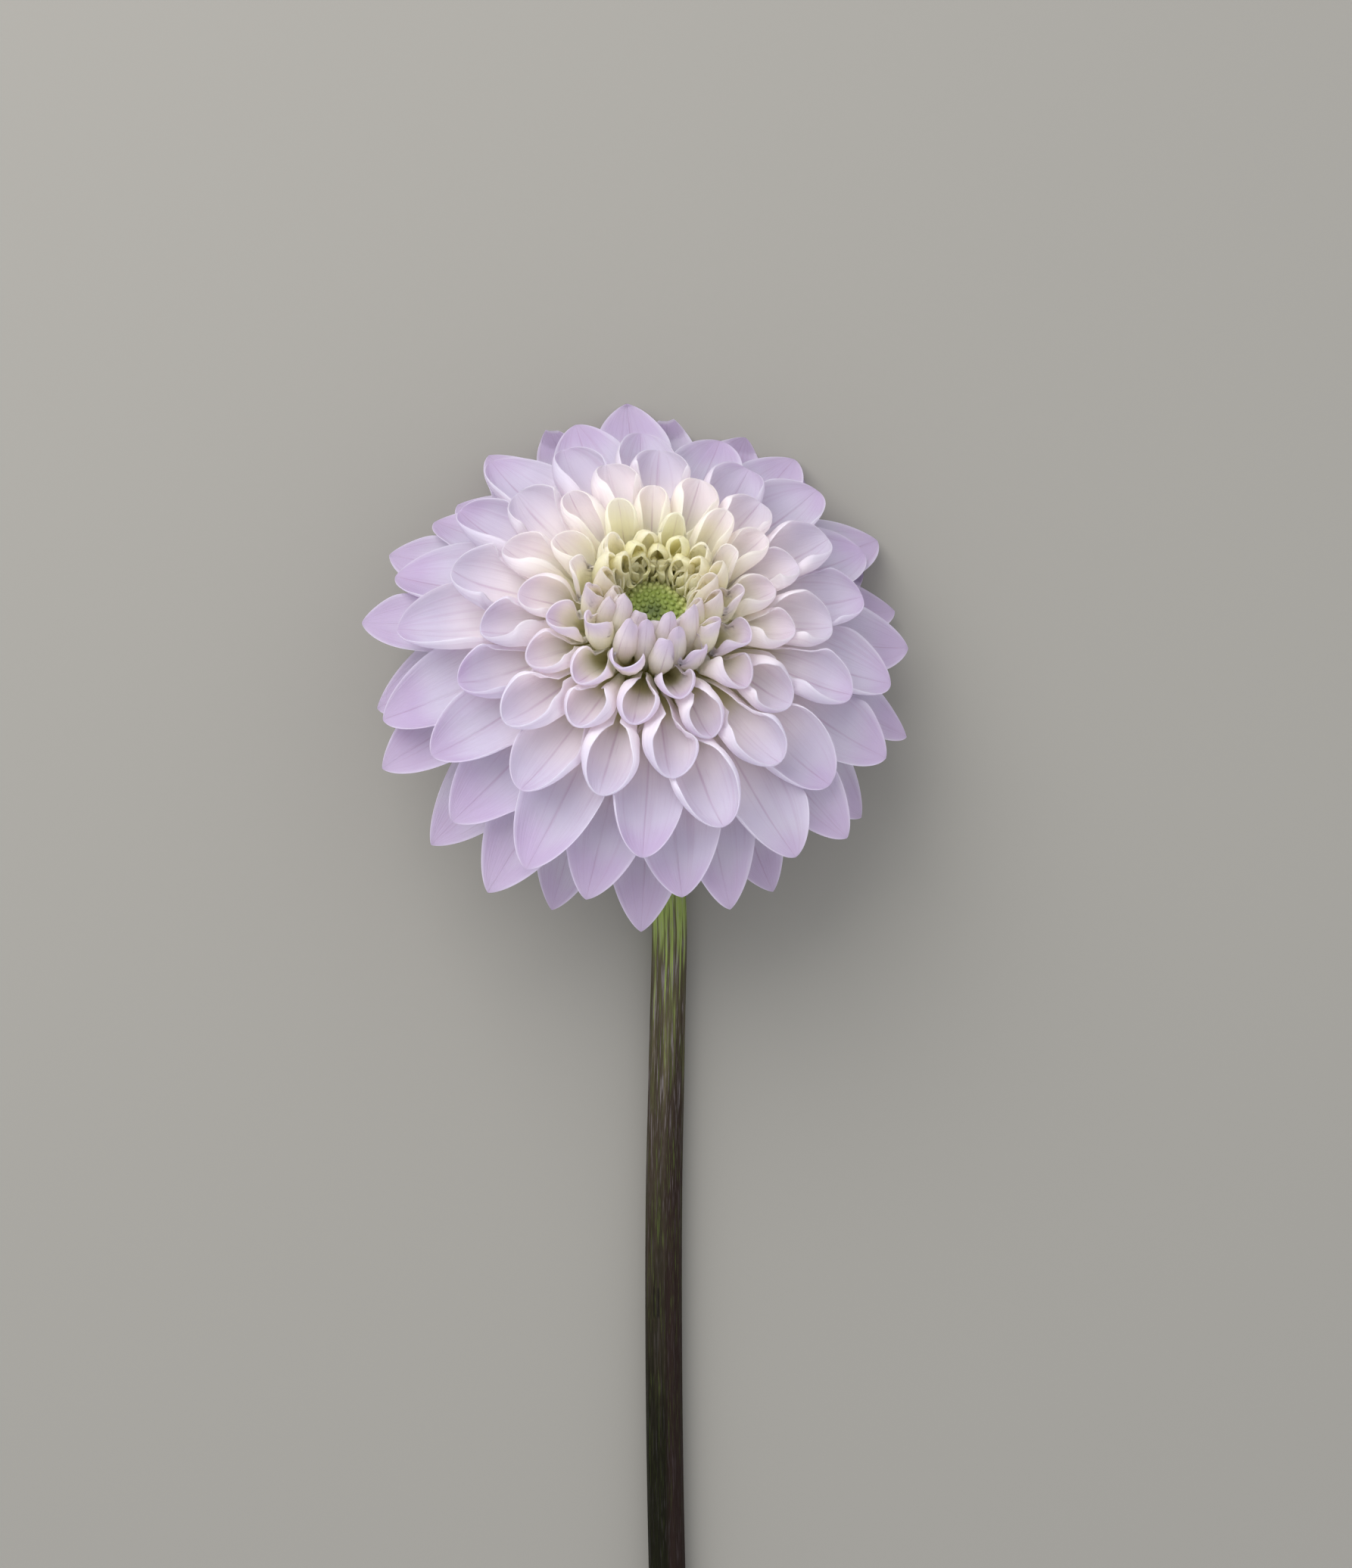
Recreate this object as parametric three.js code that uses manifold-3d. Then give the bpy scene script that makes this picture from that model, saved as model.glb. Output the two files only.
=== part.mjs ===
import * as THREE from "three";
import { mergeVertices } from "three/addons/utils/BufferGeometryUtils.js";
import Module from "manifold-3d";

// A cut decorative dahlia lying on a table. Millimetres, +Z up, the stem along -Y.
// Every ray floret has a number: 0 is the oldest, at the back of the head, and the youngest stand
// round the disc. Each one turns on from the last by the golden angle.

// Head: where its seat lies, which way it faces, and its florets
const HEAD_SEAT = new THREE.Vector3(2.1, 92.3, 30);
const HEAD_TILT = 27;
const HEAD_LEAN = 6.3;
const FLORETS = 150;
const FIRST_YOUNG = 90;
const GOLDEN_ANGLE = 137.50776;
const FIRST_ANGLE = 114.8;
const ROOT_RADIUS = 11;
const ROOT_TAPER = 0.1;
const ROOT_START = 1;
const ROOT_RISE = 7;
const BLADE_THICKNESS = 0.64;
const GAP = 0.3;

// How far each floret strays from the rule: angles in degrees, the rest as shares of its length or width
const STRAY = {
  place: 4,
  length: 0.05,
  width: 0.06,
  baseAngle: 2,
  bladeAngle: 4,
  tipTurn: 5,
  twist: 9,
  roll: 9,
  sweep: 0.05,
};

// Outline and section of a ray floret, as shares of its length, its width and its curl
const CLAW_WIDTH = 0.14;
const WIDEST = 0.6;
const RISE_POWER = 1.4;
const TAPER_POWER = 2.1;
const TIP_START = 0.66;
const EDGE_CURL = 0.34;

// The florets on the far side of the tilted head are longer than those on the near side by this share,
// and its young florets lean outwards by this angle. Those to the left and right are shorter. The inner
// florets on the far side, from and to these shares of the number of florets, are longer and narrower,
// and its young florets are shorter and hook inwards.
const FAR_STRETCH = 0.045;
const FAR_LEAN = 6;
const SIDE_SHORTENING = 0.045;
const FAR_INNER = { from: 0.42, full: 0.52, fading: 0.6, to: 0.66, length: 0.12, width: -0.14 };
const FAR_YOUNG = { from: 0.6, full: 0.68, length: -0.12, hook: -55 };

// The table bends up the florets under the head. A line from the root to a tip this far under it is
// the steepest that they take, and the little that still passes the table is cut off flat.
const TABLE_DEPTH = 9.2;
const TABLE_SOFTNESS = 7;
const PRESSED_ANGLE = 35;
const PRESSED_SHORTENING = 0.06;

// Traits of a ray floret at twelve ages, from the oldest to the youngest: lengths in mm, angles in degrees.
// A direction angle is measured from the axis of the head, and a curl is the whole turn of the blade's
// section from edge to edge. Bend and mouth give the stretch, as shares of the length, in which the
// floret bends outwards and its rolled blade opens.
const AGES = [0, 20, 38, 51, 62, 73, 83, 91, 102, 116, 132, 149];
const TRAITS = {
  length: [52, 49.5, 43.5, 34.5, 28, 21.5, 17.5, 18.5, 21, 19, 13, 8],
  width: [18.5, 20, 22, 24, 25, 22, 19, 16.5, 15, 14, 11, 8],
  baseAngle: [96, 88, 80, 72, 60, 50, 44, 36, 26, 12, 0, -2],
  bladeAngle: [132, 116, 106, 98, 92, 84, 68, 4, -6, -12, -12, -12],
  tipTurn: [-4, -8, -16, -26, -32, -32, -24, 24, 0, -6, -4, 0],
  bendStart: [0, 0, 0, 0, 0.05, 0.1, 0.2, 0.15, 0.1, 0.1, 0, 0],
  bendEnd: [0.6, 0.6, 0.6, 0.6, 0.62, 0.7, 0.85, 0.85, 0.85, 0.9, 1, 1],
  baseCurl: [150, 180, 230, 260, 260, 260, 260, 260, 260, 260, 260, 260],
  tipCurl: [100, 114, 146, 200, 220, 220, 215, 210, 210, 210, 210, 210],
  mouthStart: [0.02, 0.05, 0.24, 0.42, 0.48, 0.54, 0.58, 0.72, 0.78, 0.76, 0.62, 0.6],
  mouthEnd: [0.5, 0.55, 0.62, 0.8, 0.86, 0.92, 0.98, 1.02, 1.3, 1.2, 1.05, 1.05],
  taperStart: [0.46, 0.5, 0.54, 0.6, 0.62, 0.62, 0.6, 0.6, 0.42, 0.46, 0.6, 0.6],
  bluntness: [0.8, 0.75, 0.66, 0.52, 0.47, 0.46, 0.48, 0.5, 0.8, 0.7, 0.42, 0.36],
};

// Stations of the sections, as shares of the length, and their corners, as shares of the half width.
// The oldest florets leave the core further in than the rest.
const OUTER_RAYS = 20;
const OUTER_STATIONS = [0.23, 0.6, 0.92];
const RAY_STATIONS = [0.42, 0.68, 0.92];
const RAY_COLUMNS = [-1, -0.45, 0.45, 1];
const YOUNG_STATIONS = [0.1, 0.7];
const YOUNG_SIDES = 4;
const YOUNG_FULLNESS = 0.67;

// Turned bodies round the axis of the head: [radius, height] from the seat, from the bottom up
const CORE_PROFILE = [
  [0, 0],
  [11, -0.5],
  [17, 0],
  [22.5, -0.8],
  [24.5, 1.6],
  [29.5, 4],
  [30, 6],
  [26, 8],
  [20, 10.5],
  [14, 12],
  [0, 12],
];
const WELL_FLOOR = 3.5;
const WELL_RADIUS = 12.5;
const WELL_FLARE = 0.32;
const WELL_TOP = 42;
const PUCK_TOP = 10.5;
const DISC_FLOOR = 9;
const DISC_RADIUS = 8.6;
const DISC_EDGE = 1.2;
const DISC_RISE = 2.6;
const DISC_BUDS = 28;
const BUD_RADIUS = 1.15;
const TURNED_SIDES = 20;

// Green cup under the head, and its two rings of bracts
const CUP_PROFILE = [
  [0, -11],
  [5.2, -11],
  [5.6, -8],
  [8.5, -5.5],
  [11, -2.4],
  [10.5, -0.8],
  [0, -0.3],
];
const SOCKET_TOP = -7.7;
const BRACT_STATIONS = [0, 0.5, 0.8];
const BRACT_COLUMNS = [-1, 0, 1];
const BRACT_THICKNESS = 1;
const BRACT_TAPER = 0.55;
const INNER_BRACTS = {
  count: 8,
  firstAngle: 10,
  radius: 8.6,
  height: -3,
  length: 14,
  width: 9,
  baseAngle: 100,
  bladeAngle: 112,
};
const OUTER_BRACTS = {
  count: 6,
  firstAngle: 32,
  radius: 7.2,
  height: -5.2,
  length: 14,
  width: 6,
  baseAngle: 112,
  bladeAngle: 168,
};

// Stem: straight in its socket, bent down to the table, then lying on it in a slight bow
const STEM_RADIUS = 3.75;
const STEM_REST = 3.65;
const STEM_SIDES = 16;
const STEM_STEPS = 32;
const STEM_NECK = [-8, -12, -16];
const STEM_BEND = [
  [0.8, 78, 8.4],
  [2.8, 66, 4.4],
];
const STEM_BOW = [
  [4.8, 54],
  [6.3, 38],
  [6, 14],
  [5.3, -20],
  [5.2, -50],
  [5.7, -92],
  [7.2, -144.6],
];
const PITH_RADIUS = 1.8;
const PITH_DEPTH = 14;

const wasm = await Module();
wasm.setup();

const radians = THREE.MathUtils.degToRad;
const clamp = THREE.MathUtils.clamp;

function smooth(x) {
  const c = clamp(x, 0, 1);
  return c * c * (3 - 2 * c);
}

// A fixed draw from -1 to 1 for trait k of floret n
function draw(n, k) {
  const x = Math.sin(n * 12.9898 + k * 78.233 + 4.7) * 43758.5453;
  return 2 * (x - Math.floor(x)) - 1;
}

// The axis of the head, two directions across it, and the outward direction at an angle round it
const tilt = radians(HEAD_TILT);
const lean = radians(HEAD_LEAN);
const axis = new THREE.Vector3(Math.tan(lean), Math.sin(tilt), Math.cos(tilt)).normalize();
const across = new THREE.Vector3(1, 0, 0).addScaledVector(axis, -axis.x).normalize();
const along = new THREE.Vector3().crossVectors(axis, across);

function outwardAt(angle) {
  return across.clone().multiplyScalar(Math.cos(angle)).addScaledVector(along, Math.sin(angle));
}

function traitsAt(n) {
  let i = 0;
  while (i < AGES.length - 2 && n > AGES[i + 1]) i += 1;
  const share = (n - AGES[i]) / (AGES[i + 1] - AGES[i]);
  const traits = {};
  for (const [name, values] of Object.entries(TRAITS)) {
    traits[name] = values[i] + (values[i + 1] - values[i]) * share;
  }
  return traits;
}

// Where floret n grows, and its own traits
function growFloret(n) {
  const age = n / (FLORETS - 1);
  const traits = traitsAt(n);
  const outward = outwardAt(radians(FIRST_ANGLE + n * GOLDEN_ANGLE + STRAY.place * draw(n, 1)));
  const radius = ROOT_RADIUS * (1 - ROOT_TAPER * age * age);
  const height = ROOT_START + ROOT_RISE * age;
  const facingAway = outward.dot(along);
  const facingSide = outward.dot(across);
  const stretch = (FAR_STRETCH * facingAway - SIDE_SHORTENING * facingSide ** 2) * (1 - age);
  const rising = clamp((age - FAR_INNER.from) / (FAR_INNER.full - FAR_INNER.from), 0, 1);
  const fading = clamp((FAR_INNER.to - age) / (FAR_INNER.to - FAR_INNER.fading), 0, 1);
  const inner = Math.max(facingAway, 0) * Math.min(rising, fading);
  const young = facingAway * clamp((age - FAR_YOUNG.from) / (FAR_YOUNG.full - FAR_YOUNG.from), 0, 1);
  const ownLength = traits.length * (1 + FAR_INNER.length * inner) * (1 + FAR_YOUNG.length * young);
  const hook = FAR_YOUNG.hook * Math.max(young, 0);
  const freeLength = ownLength * (1 + STRAY.length * draw(n, 2) + stretch);
  const freeBase = radians(traits.baseAngle + STRAY.baseAngle * draw(n, 4));
  const leanOut = FAR_LEAN * facingAway * smooth((age - 0.6) / 0.15);
  const freeBlade = radians(traits.bladeAngle + STRAY.bladeAngle * draw(n, 5) + leanOut);
  const drop = HEAD_SEAT.z + radius * outward.z + height * axis.z + TABLE_DEPTH;
  const steepness = Math.hypot(axis.z, outward.z);
  const lowest = Math.acos(clamp(-drop / freeLength / steepness, -1, 1));
  const limit = Math.atan2(outward.z, axis.z) + lowest;
  const softness = radians(TABLE_SOFTNESS);
  const ease = (angle) => limit - softness * Math.log1p(Math.exp((limit - angle) / softness));
  const pressed = clamp((freeBlade - ease(freeBlade)) / radians(PRESSED_ANGLE), 0, 1);
  return {
    ...traits,
    outward,
    radius,
    height,
    length: freeLength * (1 - PRESSED_SHORTENING * pressed),
    width: traits.width * (1 + FAR_INNER.width * inner) * (1 + STRAY.width * draw(n, 3)),
    baseAngle: Math.min(freeBase, ease(freeBase)),
    bladeAngle: ease(freeBlade),
    tipTurn: radians(traits.tipTurn + STRAY.tipTurn * draw(n, 6) + hook),
    roll: radians(STRAY.roll * draw(n, 9)),
    twist: radians(STRAY.twist * draw(n, 8)),
    sweep: STRAY.sweep * draw(n, 10),
  };
}

function growBract(ring, i) {
  return {
    ...ring,
    outward: outwardAt(radians(ring.firstAngle + (360 * i) / ring.count)),
    baseAngle: radians(ring.baseAngle),
    bladeAngle: radians(ring.bladeAngle),
    tipTurn: 0,
    bendStart: 0,
    bendEnd: 1,
    baseCurl: 70,
    tipCurl: 40,
    mouthStart: 0,
    mouthEnd: 1,
    bluntness: 0.8,
    roll: 0,
    twist: 0,
    sweep: 0.04 * draw(i, ring.count),
  };
}

function directionAt(leaf, t) {
  const bend = smooth((t - leaf.bendStart) / (leaf.bendEnd - leaf.bendStart));
  const arch = leaf.baseAngle + (leaf.bladeAngle - leaf.baseAngle) * bend;
  return arch + leaf.tipTurn * smooth((t - TIP_START) / (1 - TIP_START));
}

// The midrib at share t of the length: distance from the axis, height above the seat, direction
function midribAt(leaf, t) {
  const steps = 48;
  let { radius, height } = leaf;
  for (let i = 0; i < steps; i += 1) {
    const direction = directionAt(leaf, (t * (i + 0.5)) / steps);
    radius += (Math.sin(direction) * leaf.length * t) / steps;
    height += (Math.cos(direction) * leaf.length * t) / steps;
  }
  return { radius, height, direction: directionAt(leaf, t) };
}

function halfWidthAt(leaf, t) {
  const rise = CLAW_WIDTH + (1 - CLAW_WIDTH) * smooth(t / WIDEST) ** RISE_POWER;
  const taper = 1 - clamp((t - leaf.taperStart) / (1 - leaf.taperStart), 0, 1) ** TAPER_POWER;
  return (leaf.width / 2) * rise * taper ** leaf.bluntness;
}

function curlAt(leaf, t) {
  const x = clamp((t - leaf.mouthStart) / (leaf.mouthEnd - leaf.mouthStart), 0, 1);
  const open = 0.65 * Math.sqrt(1 - (1 - x) ** 2) + 0.35 * smooth(x);
  return radians(leaf.tipCurl + (leaf.baseCurl - leaf.tipCurl) * (1 - open));
}

// A curled blade's section as a closed loop, its back from edge to edge and then its inner face.
// The blade turns faster towards its edges, and thins out there.
function bladeSection(half, curl, columns, thickness) {
  const turnAt = (s) => (curl / 2) * Math.sign(s) * ((1 - EDGE_CURL) * Math.abs(s) + EDGE_CURL * s ** 4);
  const pointAt = (s) => {
    const steps = 12;
    let x = 0;
    let y = 0;
    for (let i = 0; i < steps; i += 1) {
      const turn = turnAt((s * (i + 0.5)) / steps);
      x += (Math.cos(turn) * half * s) / steps;
      y += (Math.sin(turn) * half * s) / steps;
    }
    return [x, y];
  };
  const offsetAt = (s, by) => {
    const [x, y] = pointAt(s);
    return [x - Math.sin(turnAt(s)) * by, y + Math.cos(turnAt(s)) * by];
  };
  const back = columns.map((s) => offsetAt(s, Math.abs(s) < 1 ? -thickness / 2 : 0));
  const inner = columns.slice(1, -1).map((s) => offsetAt(s, thickness / 2));
  return [...back, ...inner.reverse()];
}

// The section of a floret that is still rolled shut
function rolledSection(half, sides) {
  const radius = half / Math.PI;
  return Array.from({ length: sides }, (_, i) => {
    const angle = -Math.PI / 2 + (2 * Math.PI * i) / sides;
    return [radius * Math.cos(angle), radius * (1 + Math.sin(angle))];
  });
}

// A section set on the midrib at share t: x runs across the leaf and y towards the axis
function placeRing(leaf, t, section) {
  const { radius, height, direction } = midribAt(leaf, t);
  const side = new THREE.Vector3().crossVectors(axis, leaf.outward);
  const turn = leaf.roll + leaf.twist * t;
  const shift = leaf.sweep * leaf.length * t * t;
  return section.map(([x, y]) => {
    const sideways = x * Math.cos(turn) - y * Math.sin(turn) + shift;
    const inward = x * Math.sin(turn) + y * Math.cos(turn);
    return HEAD_SEAT.clone()
      .addScaledVector(leaf.outward, radius - Math.cos(direction) * inward)
      .addScaledVector(axis, height + Math.sin(direction) * inward)
      .addScaledVector(side, sideways);
  });
}

// A closed skin over rings of points, with a cap from face to face at the root and a point at the tip.
// Both faces of a blade are split along the same diagonals, so that they stay apart.
function skin(rings, tip) {
  const size = rings[0].length;
  const positions = [...rings.flat(), tip].flatMap((point) => point.toArray());
  const index = [];
  for (let i = 0; i + 1 < rings.length; i += 1) {
    for (let j = 0; j < size; j += 1) {
      const a = i * size + j;
      const b = i * size + ((j + 1) % size);
      if (j < size / 2) index.push(a, b, b + size, a, b + size, a + size);
      else index.push(a, b, a + size, b, b + size, a + size);
    }
  }
  const last = (rings.length - 1) * size;
  for (let j = 0; j < size; j += 1) index.push(last + j, last + ((j + 1) % size), rings.length * size);
  for (let j = 0; j < size / 2; j += 1) {
    const facing = (size - j) % size;
    if (j > 0) index.push(j, facing, j + 1);
    if (j + 1 < size / 2) index.push(facing, facing === 0 ? size - 1 : facing - 1, j + 1);
  }
  const geometry = new THREE.BufferGeometry();
  geometry.setAttribute("position", new THREE.Float32BufferAttribute(positions, 3));
  geometry.setIndex(index);
  return geometry;
}

function growLeaf(leaf, stations, sectionAt) {
  const rings = stations.map((t) => placeRing(leaf, t, sectionAt(t)));
  const [tip] = placeRing(leaf, 1, [[0, 0]]);
  return skin(rings, tip);
}

function rayFloret(n) {
  const leaf = growFloret(n);
  const stations = n < OUTER_RAYS ? OUTER_STATIONS : RAY_STATIONS;
  return growLeaf(leaf, stations, (t) => {
    return bladeSection(halfWidthAt(leaf, t), curlAt(leaf, t), RAY_COLUMNS, BLADE_THICKNESS);
  });
}

function youngFloret(n) {
  const leaf = growFloret(n);
  const least = (YOUNG_FULLNESS * leaf.width) / 2;
  return growLeaf(leaf, YOUNG_STATIONS, (t) => {
    return rolledSection(Math.max(halfWidthAt(leaf, t), least), YOUNG_SIDES);
  });
}

function bract(ring, i) {
  const leaf = growBract(ring, i);
  return growLeaf(leaf, BRACT_STATIONS, (t) => {
    const half = (leaf.width / 2) * (1 - BRACT_TAPER * t * t);
    return bladeSection(half, curlAt(leaf, t), BRACT_COLUMNS, BRACT_THICKNESS);
  });
}

// Solids for joining and cutting, and back again
function toSolid(geometry) {
  const bare = geometry.clone();
  bare.deleteAttribute("normal");
  bare.deleteAttribute("uv");
  const merged = mergeVertices(bare, 1e-4);
  const vertProperties = new Float32Array(merged.attributes.position.array);
  const triVerts = new Uint32Array(merged.index.array);
  return new wasm.Manifold(new wasm.Mesh({ numProp: 3, vertProperties, triVerts }));
}

function join(solids) {
  return solids.reduce((sum, solid) => sum.add(solid));
}

// The outer skin of the largest body of a solid: loose scraps are dropped and sealed hollows filled
function outerSkin(solid) {
  const { vertProperties, triVerts } = solid.getMesh();
  const group = Array.from({ length: vertProperties.length / 3 }, (_, i) => i);
  const find = (i) => {
    let top = i;
    while (group[top] !== top) top = group[top];
    group[i] = top;
    return top;
  };
  const corners = (i) => [0, 1, 2].map((k) => triVerts[i + k]);
  for (let i = 0; i < triVerts.length; i += 3) {
    const [a, b, c] = corners(i);
    group[find(b)] = find(a);
    group[find(c)] = find(a);
  }
  const volumes = new Map();
  const at = (i) => new THREE.Vector3().fromArray(vertProperties, 3 * i);
  for (let i = 0; i < triVerts.length; i += 3) {
    const [a, b, c] = corners(i);
    const volume = at(a).dot(at(b).cross(at(c))) / 6;
    volumes.set(find(a), (volumes.get(find(a)) ?? 0) + volume);
  }
  const largest = [...volumes.entries()].reduce((best, entry) => (entry[1] > best[1] ? entry : best))[0];
  const kept = [];
  for (let i = 0; i < triVerts.length; i += 3) {
    if (find(triVerts[i]) === largest) kept.push(...corners(i));
  }
  const geometry = new THREE.BufferGeometry();
  geometry.setAttribute("position", new THREE.Float32BufferAttribute(vertProperties, 3));
  geometry.setIndex(kept);
  return mergeVertices(geometry.toNonIndexed(), 1e-5);
}

// A body turned round the axis of the head
function turned(profile) {
  const points = profile.map(([radius, height]) => new THREE.Vector2(radius, height));
  const geometry = new THREE.LatheGeometry(points, TURNED_SIDES);
  geometry.rotateX(Math.PI / 2);
  geometry.applyMatrix4(new THREE.Matrix4().makeBasis(across, along, axis));
  return toSolid(geometry.translate(HEAD_SEAT.x, HEAD_SEAT.y, HEAD_SEAT.z));
}

// The space in the middle of the head that only the young florets fill
function well(grow) {
  const flare = WELL_FLARE * (WELL_TOP - WELL_FLOOR);
  return turned([
    [0, WELL_FLOOR - grow],
    [WELL_RADIUS + grow, WELL_FLOOR - grow],
    [WELL_RADIUS + flare + grow, WELL_TOP],
    [0, WELL_TOP],
  ]);
}

function discDome(grow) {
  const profile = [
    [0, DISC_FLOOR - grow],
    [DISC_RADIUS + grow, DISC_FLOOR - grow],
  ];
  for (const share of [1, 0.8, 0.5, 0]) {
    const height = DISC_FLOOR + DISC_EDGE + DISC_RISE * (1 - share ** 2) + grow;
    profile.push([share * (DISC_RADIUS + grow), height]);
  }
  return turned(profile);
}

function aboveTable() {
  const size = 600;
  return toSolid(new THREE.BoxGeometry(size, size, size).translate(0, 0, size / 2));
}

function rayFlorets() {
  const florets = Array.from({ length: FIRST_YOUNG }, (_, n) => toSolid(rayFloret(n)));
  return join([turned(CORE_PROFILE), ...florets]).subtract(well(GAP)).intersect(aboveTable());
}

function youngFlorets() {
  const puck = turned([
    [0, WELL_FLOOR],
    [WELL_RADIUS, WELL_FLOOR],
    [WELL_RADIUS, PUCK_TOP],
    [0, PUCK_TOP],
  ]);
  const count = FLORETS - FIRST_YOUNG;
  const florets = Array.from({ length: count }, (_, i) => toSolid(youngFloret(FIRST_YOUNG + i)));
  return join([puck, ...florets]).intersect(well(0)).subtract(discDome(GAP + BUD_RADIUS / 2));
}

// A dome of unopened disc florets, in the same golden spiral
function discFlorets() {
  const buds = Array.from({ length: DISC_BUDS }, (_, i) => {
    const share = Math.sqrt((i + 0.5) / DISC_BUDS);
    const outward = outwardAt(radians(i * GOLDEN_ANGLE));
    const height = DISC_FLOOR + DISC_EDGE + DISC_RISE * (1 - share ** 2) - BUD_RADIUS / 2;
    const place = HEAD_SEAT.clone()
      .addScaledVector(outward, share * (DISC_RADIUS - BUD_RADIUS))
      .addScaledVector(axis, height);
    return toSolid(new THREE.IcosahedronGeometry(BUD_RADIUS).translate(place.x, place.y, place.z));
  });
  return join([discDome(0), ...buds]);
}

function involucre() {
  const bracts = [INNER_BRACTS, OUTER_BRACTS].flatMap((ring) => {
    return Array.from({ length: ring.count }, (_, i) => toSolid(bract(ring, i)));
  });
  const [, [, bottom]] = CUP_PROFILE;
  const socket = turned([
    [0, bottom - 1],
    [STEM_RADIUS + GAP, bottom - 1],
    [STEM_RADIUS + GAP, SOCKET_TOP],
    [0, SOCKET_TOP],
  ]);
  return join([turned(CUP_PROFILE), ...bracts]).subtract(socket);
}

function stem() {
  const neck = STEM_NECK.map((height) => HEAD_SEAT.clone().addScaledVector(axis, height));
  const bend = STEM_BEND.map((place) => new THREE.Vector3(...place));
  const bow = STEM_BOW.map(([x, y]) => new THREE.Vector3(x, y, STEM_REST));
  const path = new THREE.CatmullRomCurve3([...neck, ...bend, ...bow]);
  const outline = Array.from({ length: STEM_SIDES }, (_, i) => {
    const angle = (2 * Math.PI * (i + 0.5)) / STEM_SIDES;
    return new THREE.Vector2(STEM_RADIUS * Math.cos(angle), STEM_RADIUS * Math.sin(angle));
  });
  const settings = { steps: STEM_STEPS, extrudePath: path, bevelEnabled: false };
  const shaft = toSolid(new THREE.ExtrudeGeometry(new THREE.Shape(outline), settings));
  const pith = new THREE.CylinderGeometry(PITH_RADIUS, PITH_RADIUS, 2 * PITH_DEPTH, 10);
  const end = path.getPoint(1);
  const turn = new THREE.Quaternion().setFromUnitVectors(new THREE.Vector3(0, 1, 0), path.getTangent(1));
  pith.applyQuaternion(turn);
  return shaft.subtract(toSolid(pith.translate(end.x, end.y, end.z))).intersect(aboveTable());
}

const SUBPARTS = [
  ["stem", stem, { color: 0x54502f, roughness: 0.6 }],
  ["involucre", involucre, { color: 0x7d8a4a, roughness: 0.7 }],
  ["ray_florets", rayFlorets, { color: 0xd9cde6, roughness: 0.65 }],
  ["young_florets", youngFlorets, { color: 0xe6dfc0, roughness: 0.65 }],
  ["disc_florets", discFlorets, { color: 0x7f8a4d, roughness: 0.7 }],
];

const dahlia = new THREE.Group();
for (const [name, build, look] of SUBPARTS) {
  const mesh = new THREE.Mesh(outerSkin(build()), new THREE.MeshStandardMaterial({ metalness: 0, ...look }));
  mesh.name = name;
  dahlia.add(mesh);
}

export default dahlia;
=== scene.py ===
import math

import bpy
import numpy as np
from bpy.props import FloatProperty, FloatVectorProperty, IntProperty, PointerProperty
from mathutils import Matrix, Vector


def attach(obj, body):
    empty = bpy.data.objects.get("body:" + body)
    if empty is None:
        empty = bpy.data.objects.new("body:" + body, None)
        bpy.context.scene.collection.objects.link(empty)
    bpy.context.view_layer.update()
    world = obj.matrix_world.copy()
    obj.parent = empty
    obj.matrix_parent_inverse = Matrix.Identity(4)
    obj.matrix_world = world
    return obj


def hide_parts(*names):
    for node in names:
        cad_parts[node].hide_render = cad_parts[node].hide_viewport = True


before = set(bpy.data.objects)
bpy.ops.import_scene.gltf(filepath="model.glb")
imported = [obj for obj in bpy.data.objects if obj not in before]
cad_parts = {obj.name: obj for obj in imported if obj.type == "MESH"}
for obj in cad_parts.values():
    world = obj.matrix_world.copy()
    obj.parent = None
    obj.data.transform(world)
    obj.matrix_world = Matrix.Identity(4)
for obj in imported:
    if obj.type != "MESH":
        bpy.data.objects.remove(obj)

bl_info = {
    "name": "Cut Dahlia",
    "version": (1, 0, 0),
    "blender": (4, 5, 0),
    "location": "3D View > Sidebar > Dahlia",
    "description": "Builds a cut decorative dahlia that lies on the floor",
    "category": "Add Mesh",
}

# Lengths are in millimetres, apart from the settings, which are in metres, and the scales of noise at an
# object's own place, which are per metre. An age runs from 0, the oldest ray floret, to 1, the youngest.
MM = 0.001

# Each ray floret stands a golden angle on from the last, and the oldest stands at the first angle.
GOLDEN_ANGLE = math.radians(137.50776)
FIRST_ANGLE = math.radians(114.8)

# Roots of the ray florets: the oldest's distance from the axis of the head and height above its seat, and
# how much nearer, as a share, and how much higher the youngest's is
ROOT_RADIUS = 11
ROOT_TAPER = 0.1
ROOT_START = 1
ROOT_RISE = 7

# The florets on the far side of the tilted head are longer by FAR_STRETCH and those on the near side are
# shorter by as much, and those to the left and right are shorter by SIDE_SHORTENING. The young far ones
# lean outwards by FAR_LEAN and the young near ones inwards, which starts at one age and eases in.
FAR_STRETCH = 0.045
SIDE_SHORTENING = 0.045
FAR_LEAN = math.radians(6)
FAR_LEAN_START = 0.6
FAR_LEAN_EASE = 0.15

# Changes of traits on one side of the head, as shares of the trait, and the ages at which they come and
# go: for inner florets on the far side, for those on the near side, and for young ones on the far side,
# which change the other way on the near side. The far young ones are also hooked inwards.
FAR_INNER = {"length": 0.12, "width": -0.14, "mouth_start": -0.16, "tip_curl": 0.1}
FAR_INNER_AGES = (0.42, 0.52, 0.6, 0.66)
NEAR_INNER = {"mouth_start": 0.2, "tip_curl": 0.1}
NEAR_INNER_AGES = (0.26, 0.38, 0.55, 0.62)
FAR_YOUNG = {"length": -0.12, "bluntness": -0.35, "taper_start": 0.25, "ruffle": 0.8, "tip_curl": -0.1}
YOUNG_AGES = (0.6, 0.68)
FAR_HOOK = math.radians(-55)

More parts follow.
